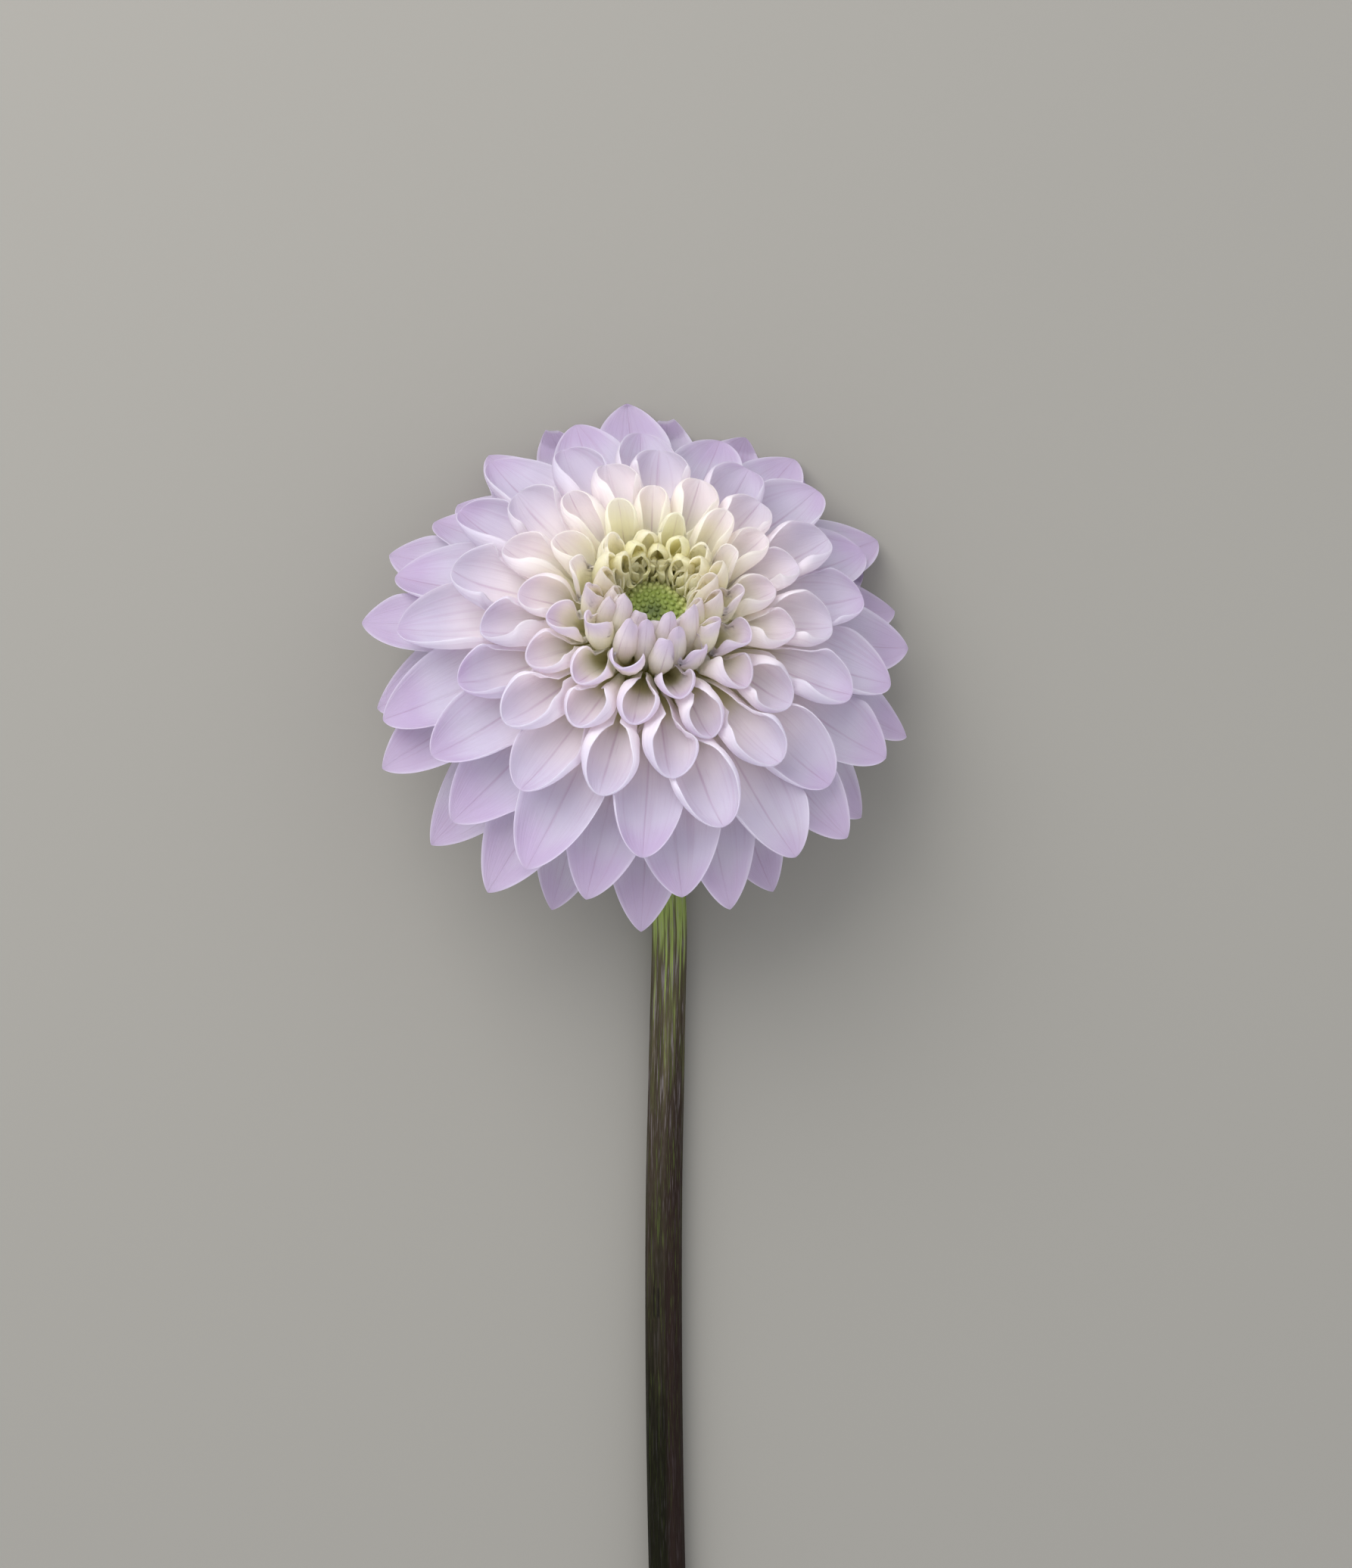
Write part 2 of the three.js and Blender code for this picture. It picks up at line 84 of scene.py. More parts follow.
# How far each floret strays from the rule: angles in degrees, the rest as shares of its length or width
STRAY = {
    "place": 4, "length": 0.05, "width": 0.06, "base_angle": 2, "blade_angle": 4, "tip_turn": 5, "twist": 9,
    "roll": 9, "sweep": 0.05, "curl": 0.07, "lopsided": 0.1,
}

# Outline of a ray floret, as shares of its length and its width, the power by which its rows of points
# crowd towards the tip, and half the width that is left there
WIDEST = 0.6
RISE_POWER = 1.4
TAPER_POWER = 2.1
TIP_START = 0.66
ROW_CROWDING = 1.7
LEAST_HALF_WIDTH = 0.06

# How much of the way that a rolled blade opens is a quarter of a circle, and not a smooth step
ROUND_OPENING = 0.65

# Section of a ray floret: the power by which it flattens as it narrows towards the tip, how its turn is
# shared out between the margins, the two side veins and the middle vein, its ruffles, and how its
# thickness falls towards the margins and where half its width is less than NARROW
TIP_FLATTENING = 0.55
SIDE_FOLD = 0.1
SIDE_VEIN = 0.33
SIDE_VEIN_WIDTH = 0.22
MIDDLE_FOLD = 5
MIDDLE_VEIN_WIDTH = 0.08
RUFFLE_WAVES = 8
RUFFLE_START = 0.5
MARGIN_THINNING = 0.97
MARGIN_SHARPNESS = 6
NARROW = 2
LEAST_THICKNESS = 0.2

# The floor bends up the florets under the head: how far under it a straight line from root to tip may
# end, how softly that limit is met, the bend that counts as fully pressed and how much shorter that
# makes a floret, and the height below which a point keeps only FLOOR_GIVE of its depth
FLOOR_DEPTH = 9.2
FLOOR_SOFTNESS = math.radians(7)
PRESSED_ANGLE = math.radians(35)
PRESSED_SHORTENING = 0.06
FLOOR_CLEARANCE = 0.12
FLOOR_GIVE = 0.03

# How younger florets press on older ones: the gap left between them, the largest push, the distance
# from the axis where it starts and the stretch in which it grows, how often it spreads to the next
# points, the cells of the grid and how far it reaches, and the height where nothing lies above
PRESS_GAP = 0.25
PRESS_MOST = 9.0
PRESS_START = 12
PRESS_EASE = 4
PRESS_SPREAD = 6
PRESS_CELL = 0.6
PRESS_REACH = 90
OPEN_SKY = 200.0

# Traits of twelve of 150 ray florets, by number from the oldest to the youngest, with angles in degrees.
# A direction angle is measured from the axis of the head, and a curl is the whole turn of the blade's
# section from margin to margin. Bend and mouth give the stretch, as shares of the length, in which the
# floret bends outwards and its rolled blade opens.
NUMBERS = (0, 20, 38, 51, 62, 73, 83, 91, 102, 116, 132, 149)
TRAITS = {
    "length": (52, 49.5, 43.5, 34.5, 28, 21.5, 17.5, 18.5, 21, 19, 13, 8),
    "width": (18.5, 20, 22, 24, 25, 22, 19, 16.5, 15, 14, 11, 8),
    "base_angle": (96, 88, 80, 72, 60, 50, 44, 36, 26, 12, 0, -2),
    "blade_angle": (132, 116, 106, 98, 92, 84, 68, 4, -6, -12, -12, -12),
    "tip_turn": (-4, -8, -16, -26, -32, -32, -24, 24, 0, -6, -4, 0),
    "bend_start": (0, 0, 0, 0, 0.05, 0.1, 0.2, 0.15, 0.1, 0.1, 0, 0),
    "bend_end": (0.6, 0.6, 0.6, 0.6, 0.62, 0.7, 0.85, 0.85, 0.85, 0.9, 1, 1),
    "root_curl": (150, 180, 260, 344, 344, 344, 344, 344, 344, 344, 344, 344),
    "tip_curl": (104, 120, 165, 255, 272, 272, 270, 240, 290, 300, 280, 270),
    "mouth_start": (0.02, 0.05, 0.24, 0.42, 0.48, 0.52, 0.48, 0.62, 0.78, 0.76, 0.62, 0.6),
    "mouth_end": (0.5, 0.55, 0.62, 0.8, 0.86, 0.92, 0.98, 1.02, 1.3, 1.2, 1.05, 1.05),
    "margin_power": (2.6, 2.4, 2.1, 1.7, 1.6, 1.5, 1.5, 1.5, 1.3, 1.3, 1.2, 1.2),
    "claw_width": (0.14, 0.14, 0.14, 0.14, 0.14, 0.16, 0.3, 0.42, 0.5, 0.55, 0.6, 0.6),
    "ruffle": (3, 3, 3, 3, 3, 4, 5, 12, 8, 16, 36, 40),
    "taper_start": (0.46, 0.5, 0.54, 0.6, 0.62, 0.62, 0.6, 0.6, 0.42, 0.46, 0.6, 0.6),
    "bluntness": (0.8, 0.75, 0.66, 0.52, 0.47, 0.46, 0.48, 0.5, 0.8, 0.7, 0.42, 0.36),
}

# The layers of 150 ray florets: name of the piece, first and last floret, rows along and columns across
LAYERS = (
    ("rays_oldest", 0, 27, 40, 20),
    ("rays_outer", 28, 52, 40, 20),
    ("rays_middle", 53, 75, 40, 20),
    ("rays_inner", 76, 89, 40, 20),
    ("rays_young", 90, 149, 36, 18),
)

# Two rings of bracts under the head, the traits that all bracts share, and their rows and columns
BRACT_RINGS = (
    {"name": "inner_bracts", "count": 8, "first_angle": 10, "radius": 8.6, "height": -3, "length": 14,
     "width": 9, "base_angle": 100, "blade_angle": 112, "thickness": 0.5},
    {"name": "outer_bracts", "count": 6, "first_angle": 32, "radius": 7.2, "height": -5.2, "length": 14,
     "width": 6, "base_angle": 112, "blade_angle": 168, "thickness": 0.9},
)
BRACT_TRAITS = {
    "bend_start": 0, "bend_end": 1, "claw_width": 0.14, "root_curl": 90, "tip_curl": 60, "mouth_start": -0.4,
    "mouth_end": 0.3, "margin_power": 2, "taper_start": 0.4, "bluntness": 0.7, "ruffle": 4, "curl": 1,
    "lopsided": 0, "age": 1, "far": 1,
}
BRACT_STRAY = {"length": 0.08, "blade_angle": 5, "tip_turn": 6, "sweep": 0.04, "twist": 8, "roll": 5}
BRACT_ROWS = 24
BRACT_COLUMNS = 14

# Bodies turned round the axis of the head: radius and height from the seat, from the bottom up, the
# height of their low swellings, which fade out within EVEN_RADIUS of the axis, and their points
CUP_PROFILE = ((3.9, -11), (5.3, -11), (5.7, -8), (8.5, -5.5), (11, -2.4), (10.6, -0.8), (8, 0.3))
CORE_PROFILE = ((10.5, -0.5), (11.8, 1.5), (11.4, 4), (10.6, 7), (9.6, 9), (4, 9.6))
CUP_SWELLING = 0.25
CORE_SWELLING = 0.2
EVEN_RADIUS = 8
TURNED_ROWS = 40
TURNED_AROUND = 72

# The disc: height of its floor above the seat, its radius, how much narrower its foot is, the height of
# its edge, the rise of its dome, and the share of its radius that a flat cap takes up
DISC_FLOOR = 9
DISC_RADIUS = 8.8
DISC_UNDERCUT = 0.6
DISC_EDGE = 1.2
DISC_RISE = 2.6
DISC_CAP = 0.02
DISC_KNOTS = 16
DISC_ROWS = 30
DISC_AROUND = 60

# A disc bud: its radius in the middle of the disc, what it gains towards the edge and how far it strays,
# its height, the depth and the spread of its dimple, its lobes, its lean at the edge of the disc, the
# angle left out at both poles, and its points
BUD_RADIUS = 0.5
BUD_GROWTH = 0.13
BUD_STRAY = 0.05
BUD_HEIGHT = 1.25
BUD_DIMPLE = 0.3
BUD_DIMPLE_SPREAD = 0.45
BUD_LOBES = 5
BUD_LOBE_DEPTH = 0.07
BUD_LEAN = 0.35
BUD_POLE = 0.12
BUD_ROWS = 7
BUD_AROUND = 10

# Stem: heights on the axis of the head, then points of its centre line, its rows and the points round it,
# and the share of its length in which the neck's radius turns into the foot's
STEM_NECK = (-8, -12, -16)
STEM_BEND = ((0.8, 78, 8.4), (2.8, 66, 4.4))
STEM_BOW = ((4.8, 54), (6.3, 38), (6, 14), (5.3, -20), (5.2, -50), (5.7, -92), (7.2, -144.6))
STEM_ROWS = 220
STEM_AROUND = 96
NECK_SHARE = 0.6

# Ribs of the stem: height as a share of its radius, how unevenly they are spaced, and their turn along it
RIB_HEIGHT = 0.014
RIB_UNEVENNESS = 0.8
RIB_TURN = 3

# The cut face and the hollow pith: depth from the cut end, and radius as a share of the stem's
PITH_DEPTH = (0, 0.1, 0.1, 0.4, 3, 8, 12, 13)
PITH_RADIUS = (0.97, 0.9, 0.6, 0.5, 0.47, 0.42, 0.3, 0.1)

# Petal tissue: the share of the light that passes through it, where its tints lie between the claw and
# the tip, and the tints that no setting holds
TRANSLUCENCY = 0.58
TINT_PLACES = (0, 0.16, 0.46, 0.8, 1)
# The throat colour is the throats' own olive yellow plus painted shade, darker than the claw.
THROAT_TINT_AND_SHADE = (0.62, 0.58, 0.24)
YOUNG_YELLOW = (0.95, 0.91, 0.50)
PALE_MARGIN = (0.93, 0.90, 0.96)
YOUNG_MARGIN = (0.97, 0.95, 0.78)

# Greens of the cup and bracts, of the core, and of the middle and the edge of the disc, and where the
# disc's tints lie between them
BRACT_GREENS = ((0.16, 0.22, 0.05), (0.42, 0.46, 0.18))
CORE_GREENS = ((0.38, 0.40, 0.10), (0.62, 0.60, 0.26))
DISC_DARK = (0.09, 0.12, 0.03)
DISC_PALE = (0.66, 0.68, 0.28)
DISC_TINT_PLACES = (0.15, 0.65, 1)

# Tints of the stem, where its ramp of tints lies along it, and the number that its cut face holds in
# place of a share of its length
STEM_TINT_PLACES = (0, 0.25, 0.31, 0.41, 0.72)
STEM_OLIVE = (0.075, 0.062, 0.034)
STEM_FLECK = (0.075, 0.10, 0.025)
STEM_PURPLE = (0.018, 0.009, 0.008)
STEM_GREY = (0.22, 0.19, 0.20)
CUT_GREEN = (0.34, 0.38, 0.19)
CUT_MARK = 1.1
CUT_EDGE = 0.02

# A healed split on the upper side of the stem, as two dark lines: its middle, the distances from there at
# which the lines begin and have ceased to fade, how far aside they lie, how they fade sideways and
# waver, and the heights over the floor between which they come into sight
SPLIT_MIDDLE = (3.6, -45)
SPLIT_END = (2.6, 3.6)
SPLIT_OFFSET = 0.45
SPLIT_FADE = (0.08, 0.25)
SPLIT_WAVER = 1.2
SPLIT_HEIGHT = (4, 5)
SPLIT_DARK = (0.006, 0.005, 0.004)

# The floor, the soft light and what it is aimed at, and the camera, which takes in FLOOR_SEEN along the
# long side of the picture from EYE_HEIGHT
FLOOR_SIZE = 3000
LIGHT_SIZE = 800
LIGHT_PLACE = (-360, 570, 680)
LIGHT_AIM = (10, 90, 30)
SKY_TINT = (0.92, 0.96, 1)
CAMERA_PLACE = (7.8, 64)
FLOOR_SEEN = 334.2
EYE_HEIGHT = 500
SENSOR = 36


class HeadSettings(bpy.types.PropertyGroup):
    """Sizes and colours of the head"""

    seat: FloatVectorProperty(
        name="Seat", description="Where the head sits on its green cup",
        default=(0.0021, 0.0923, 0.030), subtype="TRANSLATION", unit="LENGTH",
    )
    tilt: FloatProperty(
        name="Tilt", description="How far the head faces away from the stem", default=math.radians(27),
        subtype="ANGLE", unit="ROTATION",
    )
    lean: FloatProperty(
        name="Lean", description="How far the head leans to the right", default=math.radians(6.3),
        subtype="ANGLE", unit="ROTATION",
    )
    florets: IntProperty(
        name="Ray florets", description="Number of ray florets in the whole head", default=150, min=20,
    )
    blade_thickness: FloatProperty(
        name="Blade thickness", description="Thickness of a ray floret at its middle vein",
        default=0.00042, subtype="DISTANCE", unit="LENGTH",
    )
    disc_buds: IntProperty(
        name="Disc buds", description="Number of unopened florets on the disc", default=140, min=1,
    )
    lilac: FloatVectorProperty(
        name="Lilac", description="Colour of a ray floret at its tip", default=(0.695, 0.58, 0.755),
        subtype="COLOR", min=0, max=1,
    )
    pale_lilac: FloatVectorProperty(
        name="Pale lilac", description="Colour of the outer half of a ray floret",
        default=(0.78, 0.725, 0.825), subtype="COLOR", min=0, max=1,
    )
    blush: FloatVectorProperty(
        name="Blush", description="Colour of the middle of a ray floret", default=(0.98, 0.92, 0.93),
        subtype="COLOR", min=0, max=1,
    )
    cream: FloatVectorProperty(
        name="Cream", description="Colour of the inner half of a ray floret",
        default=(0.99, 0.97, 0.80), subtype="COLOR", min=0, max=1,
    )
    claw: FloatVectorProperty(
        name="Claw", description="Colour of the narrow root of a ray floret",
        default=(0.90, 0.83, 0.42), subtype="COLOR", min=0, max=1,
    )
    vein: FloatVectorProperty(
        name="Vein", description="Colour of the fine veins of a ray floret", default=(0.52, 0.30, 0.46),
        subtype="COLOR", min=0, max=1,
    )
    disc_green: FloatVectorProperty(
        name="Disc green", description="Colour of the buds on the disc", default=(0.25, 0.31, 0.075),
        subtype="COLOR", min=0, max=1,
    )


class StemSettings(bpy.types.PropertyGroup):
    """Sizes and colours of the stem"""

    neck_radius: FloatProperty(
        name="Neck radius", description="Radius of the stem just under the head", default=0.00352,
        subtype="DISTANCE", unit="LENGTH",
    )
    foot_radius: FloatProperty(
        name="Foot radius", description="Radius of the stem at its cut end", default=0.00384,
        subtype="DISTANCE", unit="LENGTH",
    )
    ribs: IntProperty(
        name="Ribs", description="Number of low ribs along the stem", default=13, min=0,
    )
    fresh_green: FloatVectorProperty(
        name="Fresh green", description="Colour of the stem under the head",
        default=(0.25, 0.315, 0.085), subtype="COLOR", min=0, max=1,
    )
    purple_brown: FloatVectorProperty(
        name="Purple brown", description="Colour of the middle of the stem",
        default=(0.036, 0.026, 0.017), subtype="COLOR", min=0, max=1,
    )
    dark_foot: FloatVectorProperty(
        name="Dark foot", description="Colour of the lower stem", default=(0.005, 0.0045, 0.0015),
        subtype="COLOR", min=0, max=1,
    )


class StageSettings(bpy.types.PropertyGroup):
    """Camera, floor and light"""

    camera_height: FloatProperty(
        name="Camera height", description="Height of the camera above the floor",
        default=EYE_HEIGHT * MM, subtype="DISTANCE", unit="LENGTH",
    )
    floor_colour: FloatVectorProperty(
        name="Floor", description="Colour of the plain floor", default=(0.255, 0.24, 0.215),
        subtype="COLOR", min=0, max=1,
    )
    sky: FloatProperty(
        name="Sky", description="Strength of the even light from all round", default=1.05, min=0,
    )
    softbox: FloatProperty(
        name="Softbox", description="Power of the soft light from the upper left", default=7.6, min=0,
    )


def smooth(x):
    """Rises from 0 to 1 with level ends: three x squared less two x cubed."""
    c = np.clip(x, 0, 1)
    return c * c * (3 - 2 * c)


def draw(n, k):
    """A fixed draw from -1 to 1 for trait k of floret n: the fraction of a large multiple of a sine."""
    x = np.sin(n * 12.9898 + k * 78.233 + 4.7) * 43758.5453
    return 2 * (x - np.floor(x)) - 1


def head_axes(head):
    """The axis of the head and two directions across it, each of length 1, one to a row."""
    axis = np.array([math.tan(head.lean), math.sin(head.tilt), math.cos(head.tilt)])
    axis /= np.linalg.norm(axis)
    across = np.array([1.0, 0, 0]) - axis[0] * axis
    across /= np.linalg.norm(across)
    return np.stack([axis, across, np.cross(axis, across)])


def outwards(head, angle):
    """Directions at right angles to the axis of the head, at these angles round it."""
    _, across, along = head_axes(head)
    return np.cos(angle)[..., None] * across + np.sin(angle)[..., None] * along


def seat_of(head):
    """The middle of the cup's upper face, in mm."""
    return np.array(head.seat) / MM


def grow_florets(head, n):
    """The place and the traits of florets n. Each turns on from the last by the golden angle, and no line
    from a root to a tip is steeper than one that ends FLOOR_DEPTH under the floor."""
    axis = head_axes(head)[0]
    number = n * (NUMBERS[-1] / (head.florets - 1))
    traits = {name: np.interp(number, NUMBERS, values) for name, values in TRAITS.items()}
    age = n / (head.florets - 1)
    outward = outwards(head, FIRST_ANGLE + n * GOLDEN_ANGLE + np.radians(STRAY["place"]) * draw(n, 1))
    radius = ROOT_RADIUS * (1 - ROOT_TAPER * age**2)
    height = ROOT_START + ROOT_RISE * age
    facing_side, facing_away = outward @ head_axes(head)[1], outward @ head_axes(head)[2]
    far_inner = np.maximum(facing_away, 0) * np.interp(age, FAR_INNER_AGES, (0, 1, 1, 0))
    near_inner = np.maximum(-facing_away, 0) * np.interp(age, NEAR_INNER_AGES, (0, 1, 1, 0))
    young = facing_away * np.interp(age, YOUNG_AGES, (0, 1))
    for shares, weight in ((FAR_INNER, far_inner), (FAR_YOUNG, young), (NEAR_INNER, near_inner)):
        for name, share in shares.items():
            traits[name] = traits[name] * (1 + share * weight)
    stretch = (FAR_STRETCH * facing_away - SIDE_SHORTENING * facing_side**2) * (1 - age)
    length = traits["length"] * (1 + STRAY["length"] * draw(n, 2) + stretch)
    base = np.radians(traits["base_angle"] + STRAY["base_angle"] * draw(n, 4))
    blade = np.radians(traits["blade_angle"] + STRAY["blade_angle"] * draw(n, 5))
    blade = blade + FAR_LEAN * facing_away * smooth((age - FAR_LEAN_START) / FAR_LEAN_EASE)
    tip_turn = np.radians(traits["tip_turn"] + STRAY["tip_turn"] * draw(n, 6))
    drop = seat_of(head)[2] + radius * outward[:, 2] + height * axis[2] + FLOOR_DEPTH
    lowest = np.arccos(np.clip(-drop / length / np.hypot(axis[2], outward[:, 2]), -1, 1))
    limit = np.arctan2(outward[:, 2], axis[2]) + lowest

    def ease(angle):
        """The angle, or softly the limit where that is less."""
        return limit - FLOOR_SOFTNESS * np.logaddexp(0, (limit - angle) / FLOOR_SOFTNESS)

    pressed = np.clip((blade - ease(blade)) / PRESSED_ANGLE, 0, 1)
    return {
        **traits,
        "age": age,
        "far": (1 + facing_away) / 2,
        "pick": (draw(n, 12) + 1) / 2,
        "outward": outward,
        "radius": radius,
        "height": height,
        "length": length * (1 - PRESSED_SHORTENING * pressed),
        "width": traits["width"] * (1 + STRAY["width"] * draw(n, 3)),
        "base_angle": np.minimum(base, ease(base)),
        "blade_angle": ease(blade),
        "tip_turn": tip_turn + FAR_HOOK * np.maximum(young, 0),
        "curl": 1 + STRAY["curl"] * draw(n, 7),
        "twist": np.radians(STRAY["twist"]) * draw(n, 8),
        "roll": np.radians(STRAY["roll"]) * draw(n, 9),
        "sweep": STRAY["sweep"] * draw(n, 10),
        "lopsided": STRAY["lopsided"] * draw(n, 11),
    }


def rows_along(count):
    """Shares of the length, from the root to the tip, closer together towards the tip."""
    return 1 - (1 - np.linspace(0, 1, count)) ** ROW_CROWDING


def midrib(leaf, t):
    """Distance from the axis, height above the seat and direction of the middle vein at shares t of the
    length. The direction turns from its base angle to its blade angle over the bend, and by the tip turn
    past TIP_START. The place is the running sum of its sine and cosine."""
    start, end = leaf["bend_start"][:, None], leaf["bend_end"][:, None]
    base, blade = leaf["base_angle"][:, None], leaf["blade_angle"][:, None]
    direction = base + (blade - base) * smooth((t - start) / (end - start))
    direction = direction + leaf["tip_turn"][:, None] * smooth((t - TIP_START) / (1 - TIP_START))
    step = np.diff(t, prepend=0) * leaf["length"][:, None]
    between = (direction + np.roll(direction, 1, axis=1)) / 2
    between[:, 0] = direction[:, 0]
    radius = leaf["radius"][:, None] + np.cumsum(np.sin(between) * step, axis=1)
    height = leaf["height"][:, None] + np.cumsum(np.cos(between) * step, axis=1)
    return radius, height, direction


def half_widths(leaf, t):
    """Half the flat width at shares t: it rises smoothly from the claw to the widest place, and then
    falls to nothing as a power of one less a power of the share left."""
    claw = leaf["claw_width"][:, None]
    rise = claw + (1 - claw) * smooth(t / WIDEST) ** RISE_POWER
    start = leaf["taper_start"][:, None]
    left = np.clip((t - start) / (1 - start), 0, 1)
    taper = (1 - left**TAPER_POWER) ** leaf["bluntness"][:, None]
    return np.maximum(leaf["width"][:, None] / 2 * rise * taper, LEAST_HALF_WIDTH)


def openness(leaf, t):
    """0 where the blade is rolled shut and 1 past its mouth, rising as a quarter of a circle that is
    blended with a smooth step."""
    start, end = leaf["mouth_start"][:, None], leaf["mouth_end"][:, None]
    x = np.clip((t - start) / (end - start), 0, 1)
    return ROUND_OPENING * np.sqrt(1 - (1 - x) ** 2) + (1 - ROUND_OPENING) * smooth(x)


def blade_sections(leaf, t, columns, thickness):
    """Closed sections of the curled blades, as x across and y towards the axis, the share s across, from
    -1 at one margin to 1 at the other, and how much each point belongs to the inner face. The inner
    face comes first and the back follows.
    The blade turns by an angle that grows with s: evenly in a closed tube, and faster at the margins
    and at the side veins where it is open. The place is the running sum of its cosine and sine, and
    the thickness thins out towards the margins. Ruffles add a sine of s that grows towards the tip."""
    s = np.sin(np.linspace(-1, 1, columns + 1) * np.pi / 2)
    side = np.sign(s)
    from_middle = np.abs(s)
    half = half_widths(leaf, t)
    opened = openness(leaf, t)[..., None]
    root_curl, tip_curl = (leaf[key][:, None, None] for key in ("root_curl", "tip_curl"))
    narrowed = np.where(t > WIDEST, 2 * half / leaf["width"][:, None], 1)[..., None] ** TIP_FLATTENING
    curl = root_curl + (tip_curl * leaf["curl"][:, None, None] * narrowed - root_curl) * opened
    fold = SIDE_FOLD * opened
    shared = (
        (1 - opened) * from_middle
        + (opened - fold) * from_middle ** leaf["margin_power"][:, None, None]
        + fold * smooth((from_middle - SIDE_VEIN + SIDE_VEIN_WIDTH / 2) / SIDE_VEIN_WIDTH)
    )
    lopsided = 1 + leaf["lopsided"][:, None, None] * side * opened
    turn = np.radians(curl / 2) * side * shared * lopsided
    turn = turn + np.radians(MIDDLE_FOLD) * opened * side * smooth(from_middle / MIDDLE_VEIN_WIDTH)
    phase = (2 * np.pi * leaf["pick"])[:, None, None]
    wave = np.sin(RUFFLE_WAVES * s + phase) * smooth((t - RUFFLE_START) / (1 - RUFFLE_START))[..., None]
    turn = turn + np.radians(leaf["ruffle"])[:, None, None] * wave
    between = (turn[..., 1:] + turn[..., :-1]) / 2
    step = np.diff(s)
    x = np.cumsum(np.pad(np.cos(between) * step, ((0, 0), (0, 0), (1, 0))), axis=2)
    y = np.cumsum(np.pad(np.sin(between) * step, ((0, 0), (0, 0), (1, 0))), axis=2)
    middle = columns // 2
    x = (x - x[..., middle : middle + 1]) * half[..., None]
    y = (y - y[..., middle : middle + 1]) * half[..., None]
    thinning = np.sqrt(1 - MARGIN_THINNING * from_middle**MARGIN_SHARPNESS)
    thin = thickness / 2 * thinning * np.clip(half / NARROW, LEAST_THICKNESS, 1)[..., None]
    inner = x - np.sin(turn) * thin, y + np.cos(turn) * thin
    back = x + np.sin(turn) * thin, y - np.cos(turn) * thin
    x, y = (np.concatenate([a, b[..., -2:0:-1]], axis=2) for a, b in zip(inner, back))
    # All of the inner face but its margins counts in full, and the back doesn't count.
    facing = np.concatenate([np.clip(1.5 - from_middle, 0.5, 1), np.zeros(columns - 1)])
    return x, y, np.concatenate([s, s[-2:0:-1]]), facing


def place_blades(head, leaf, t, x, y):
    """Sections set on the middle veins, as points in mm: rolled and twisted about the vein, and swept
    sideways as the square of the share of the length."""
    axis = head_axes(head)[0]
    radius, height, direction = (value[..., None] for value in midrib(leaf, t))
    turn = (leaf["roll"][:, None] + leaf["twist"][:, None] * t)[..., None]
    shift = ((leaf["sweep"] * leaf["length"])[:, None] * t**2)[..., None]
    sideways = x * np.cos(turn) - y * np.sin(turn) + shift
    inward = x * np.sin(turn) + y * np.cos(turn)
    outward = leaf["outward"][:, None, None, :]
    return (
        seat_of(head)
        + (radius - np.cos(direction) * inward)[..., None] * outward
        + (height + np.sin(direction) * inward)[..., None] * axis
        + sideways[..., None] * np.cross(axis, outward)
    )


def with_midpoints(grid):
    """A grid of points in closed rings, and the points halfway between neighbours."""
    grid = np.concatenate([grid, (grid + np.roll(grid, -1, axis=1)) / 2], axis=1)
    return np.concatenate([grid, (grid[1:] + grid[:-1]) / 2])


def lowest_around(grid):
    """The lowest value in the nine cells round each cell."""
    wide = np.pad(grid, 1, mode="edge")
    grid = np.minimum(np.minimum(wide[:-2], wide[2:]), wide[1:-1])
    return np.minimum(np.minimum(grid[:, :-2], grid[:, 2:]), grid[:, 1:-1])


def spread(push):
    """The push at each point or the mean push around it, whichever is more."""
    wide = np.pad(push, ((1, 1), (0, 0)), mode="edge")
    mean = (wide[:-2] + wide[2:] + np.roll(push, 1, axis=1) + np.roll(push, -1, axis=1)) / 4
    return np.maximum(push, mean)


def press_under(head, blades, ceiling):
    """Presses blades down the axis of the head, the youngest first, until each lies PRESS_GAP under the
    younger ones. ceiling holds the lowest height above the seat that is taken over each cell of a
    square grid across the axis. Both faces of a blade move by what its middle surface needs, and the
    push spreads over the blade."""
    axes, seat = head_axes(head), seat_of(head)
    for blade in blades[::-1]:
        local = (blade - seat) @ axes.T
        skin = (local + np.roll(local[:, ::-1], 1, axis=1)) / 2
        cell = np.rint((skin[..., 1:] + PRESS_REACH) / PRESS_CELL).astype(int)
        over = skin[..., 0] + PRESS_GAP - ceiling[cell[..., 0], cell[..., 1]]
        distance = np.hypot(skin[..., 1], skin[..., 2])
        push = np.clip(over, 0, PRESS_MOST) * smooth((distance - PRESS_START) / PRESS_EASE)
        for _ in range(PRESS_SPREAD):
            push = spread(push)
        local[..., 0] -= push
        blade[:] = seat + local @ axes
        fine = with_midpoints(with_midpoints(local)).reshape(-1, 3)
        cell = np.rint((fine[:, 1:] + PRESS_REACH) / PRESS_CELL).astype(int)
        taken = np.full_like(ceiling, OPEN_SKY)
        np.minimum.at(taken, (cell[:, 0], cell[:, 1]), fine[:, 0])
        np.minimum(ceiling, lowest_around(taken), out=ceiling)


def held_up(points):
    """Points kept off the floor: what would reach below it keeps only FLOOR_GIVE of its depth."""
    low = points[..., 2] - FLOOR_CLEARANCE
    points[..., 2] = np.where(low < 0, FLOOR_CLEARANCE + FLOOR_GIVE * low, points[..., 2])
    return points


def side_faces(rows, around):
    """Quads between closed rings of points."""
    ring = np.arange(around)
    after = (ring + 1) % around
    start = np.arange(rows - 1)[:, None] * around
    sides = np.stack([start + ring, start + after, start + around + after, start + around + ring], -1)
    return sides.reshape(-1, 4)


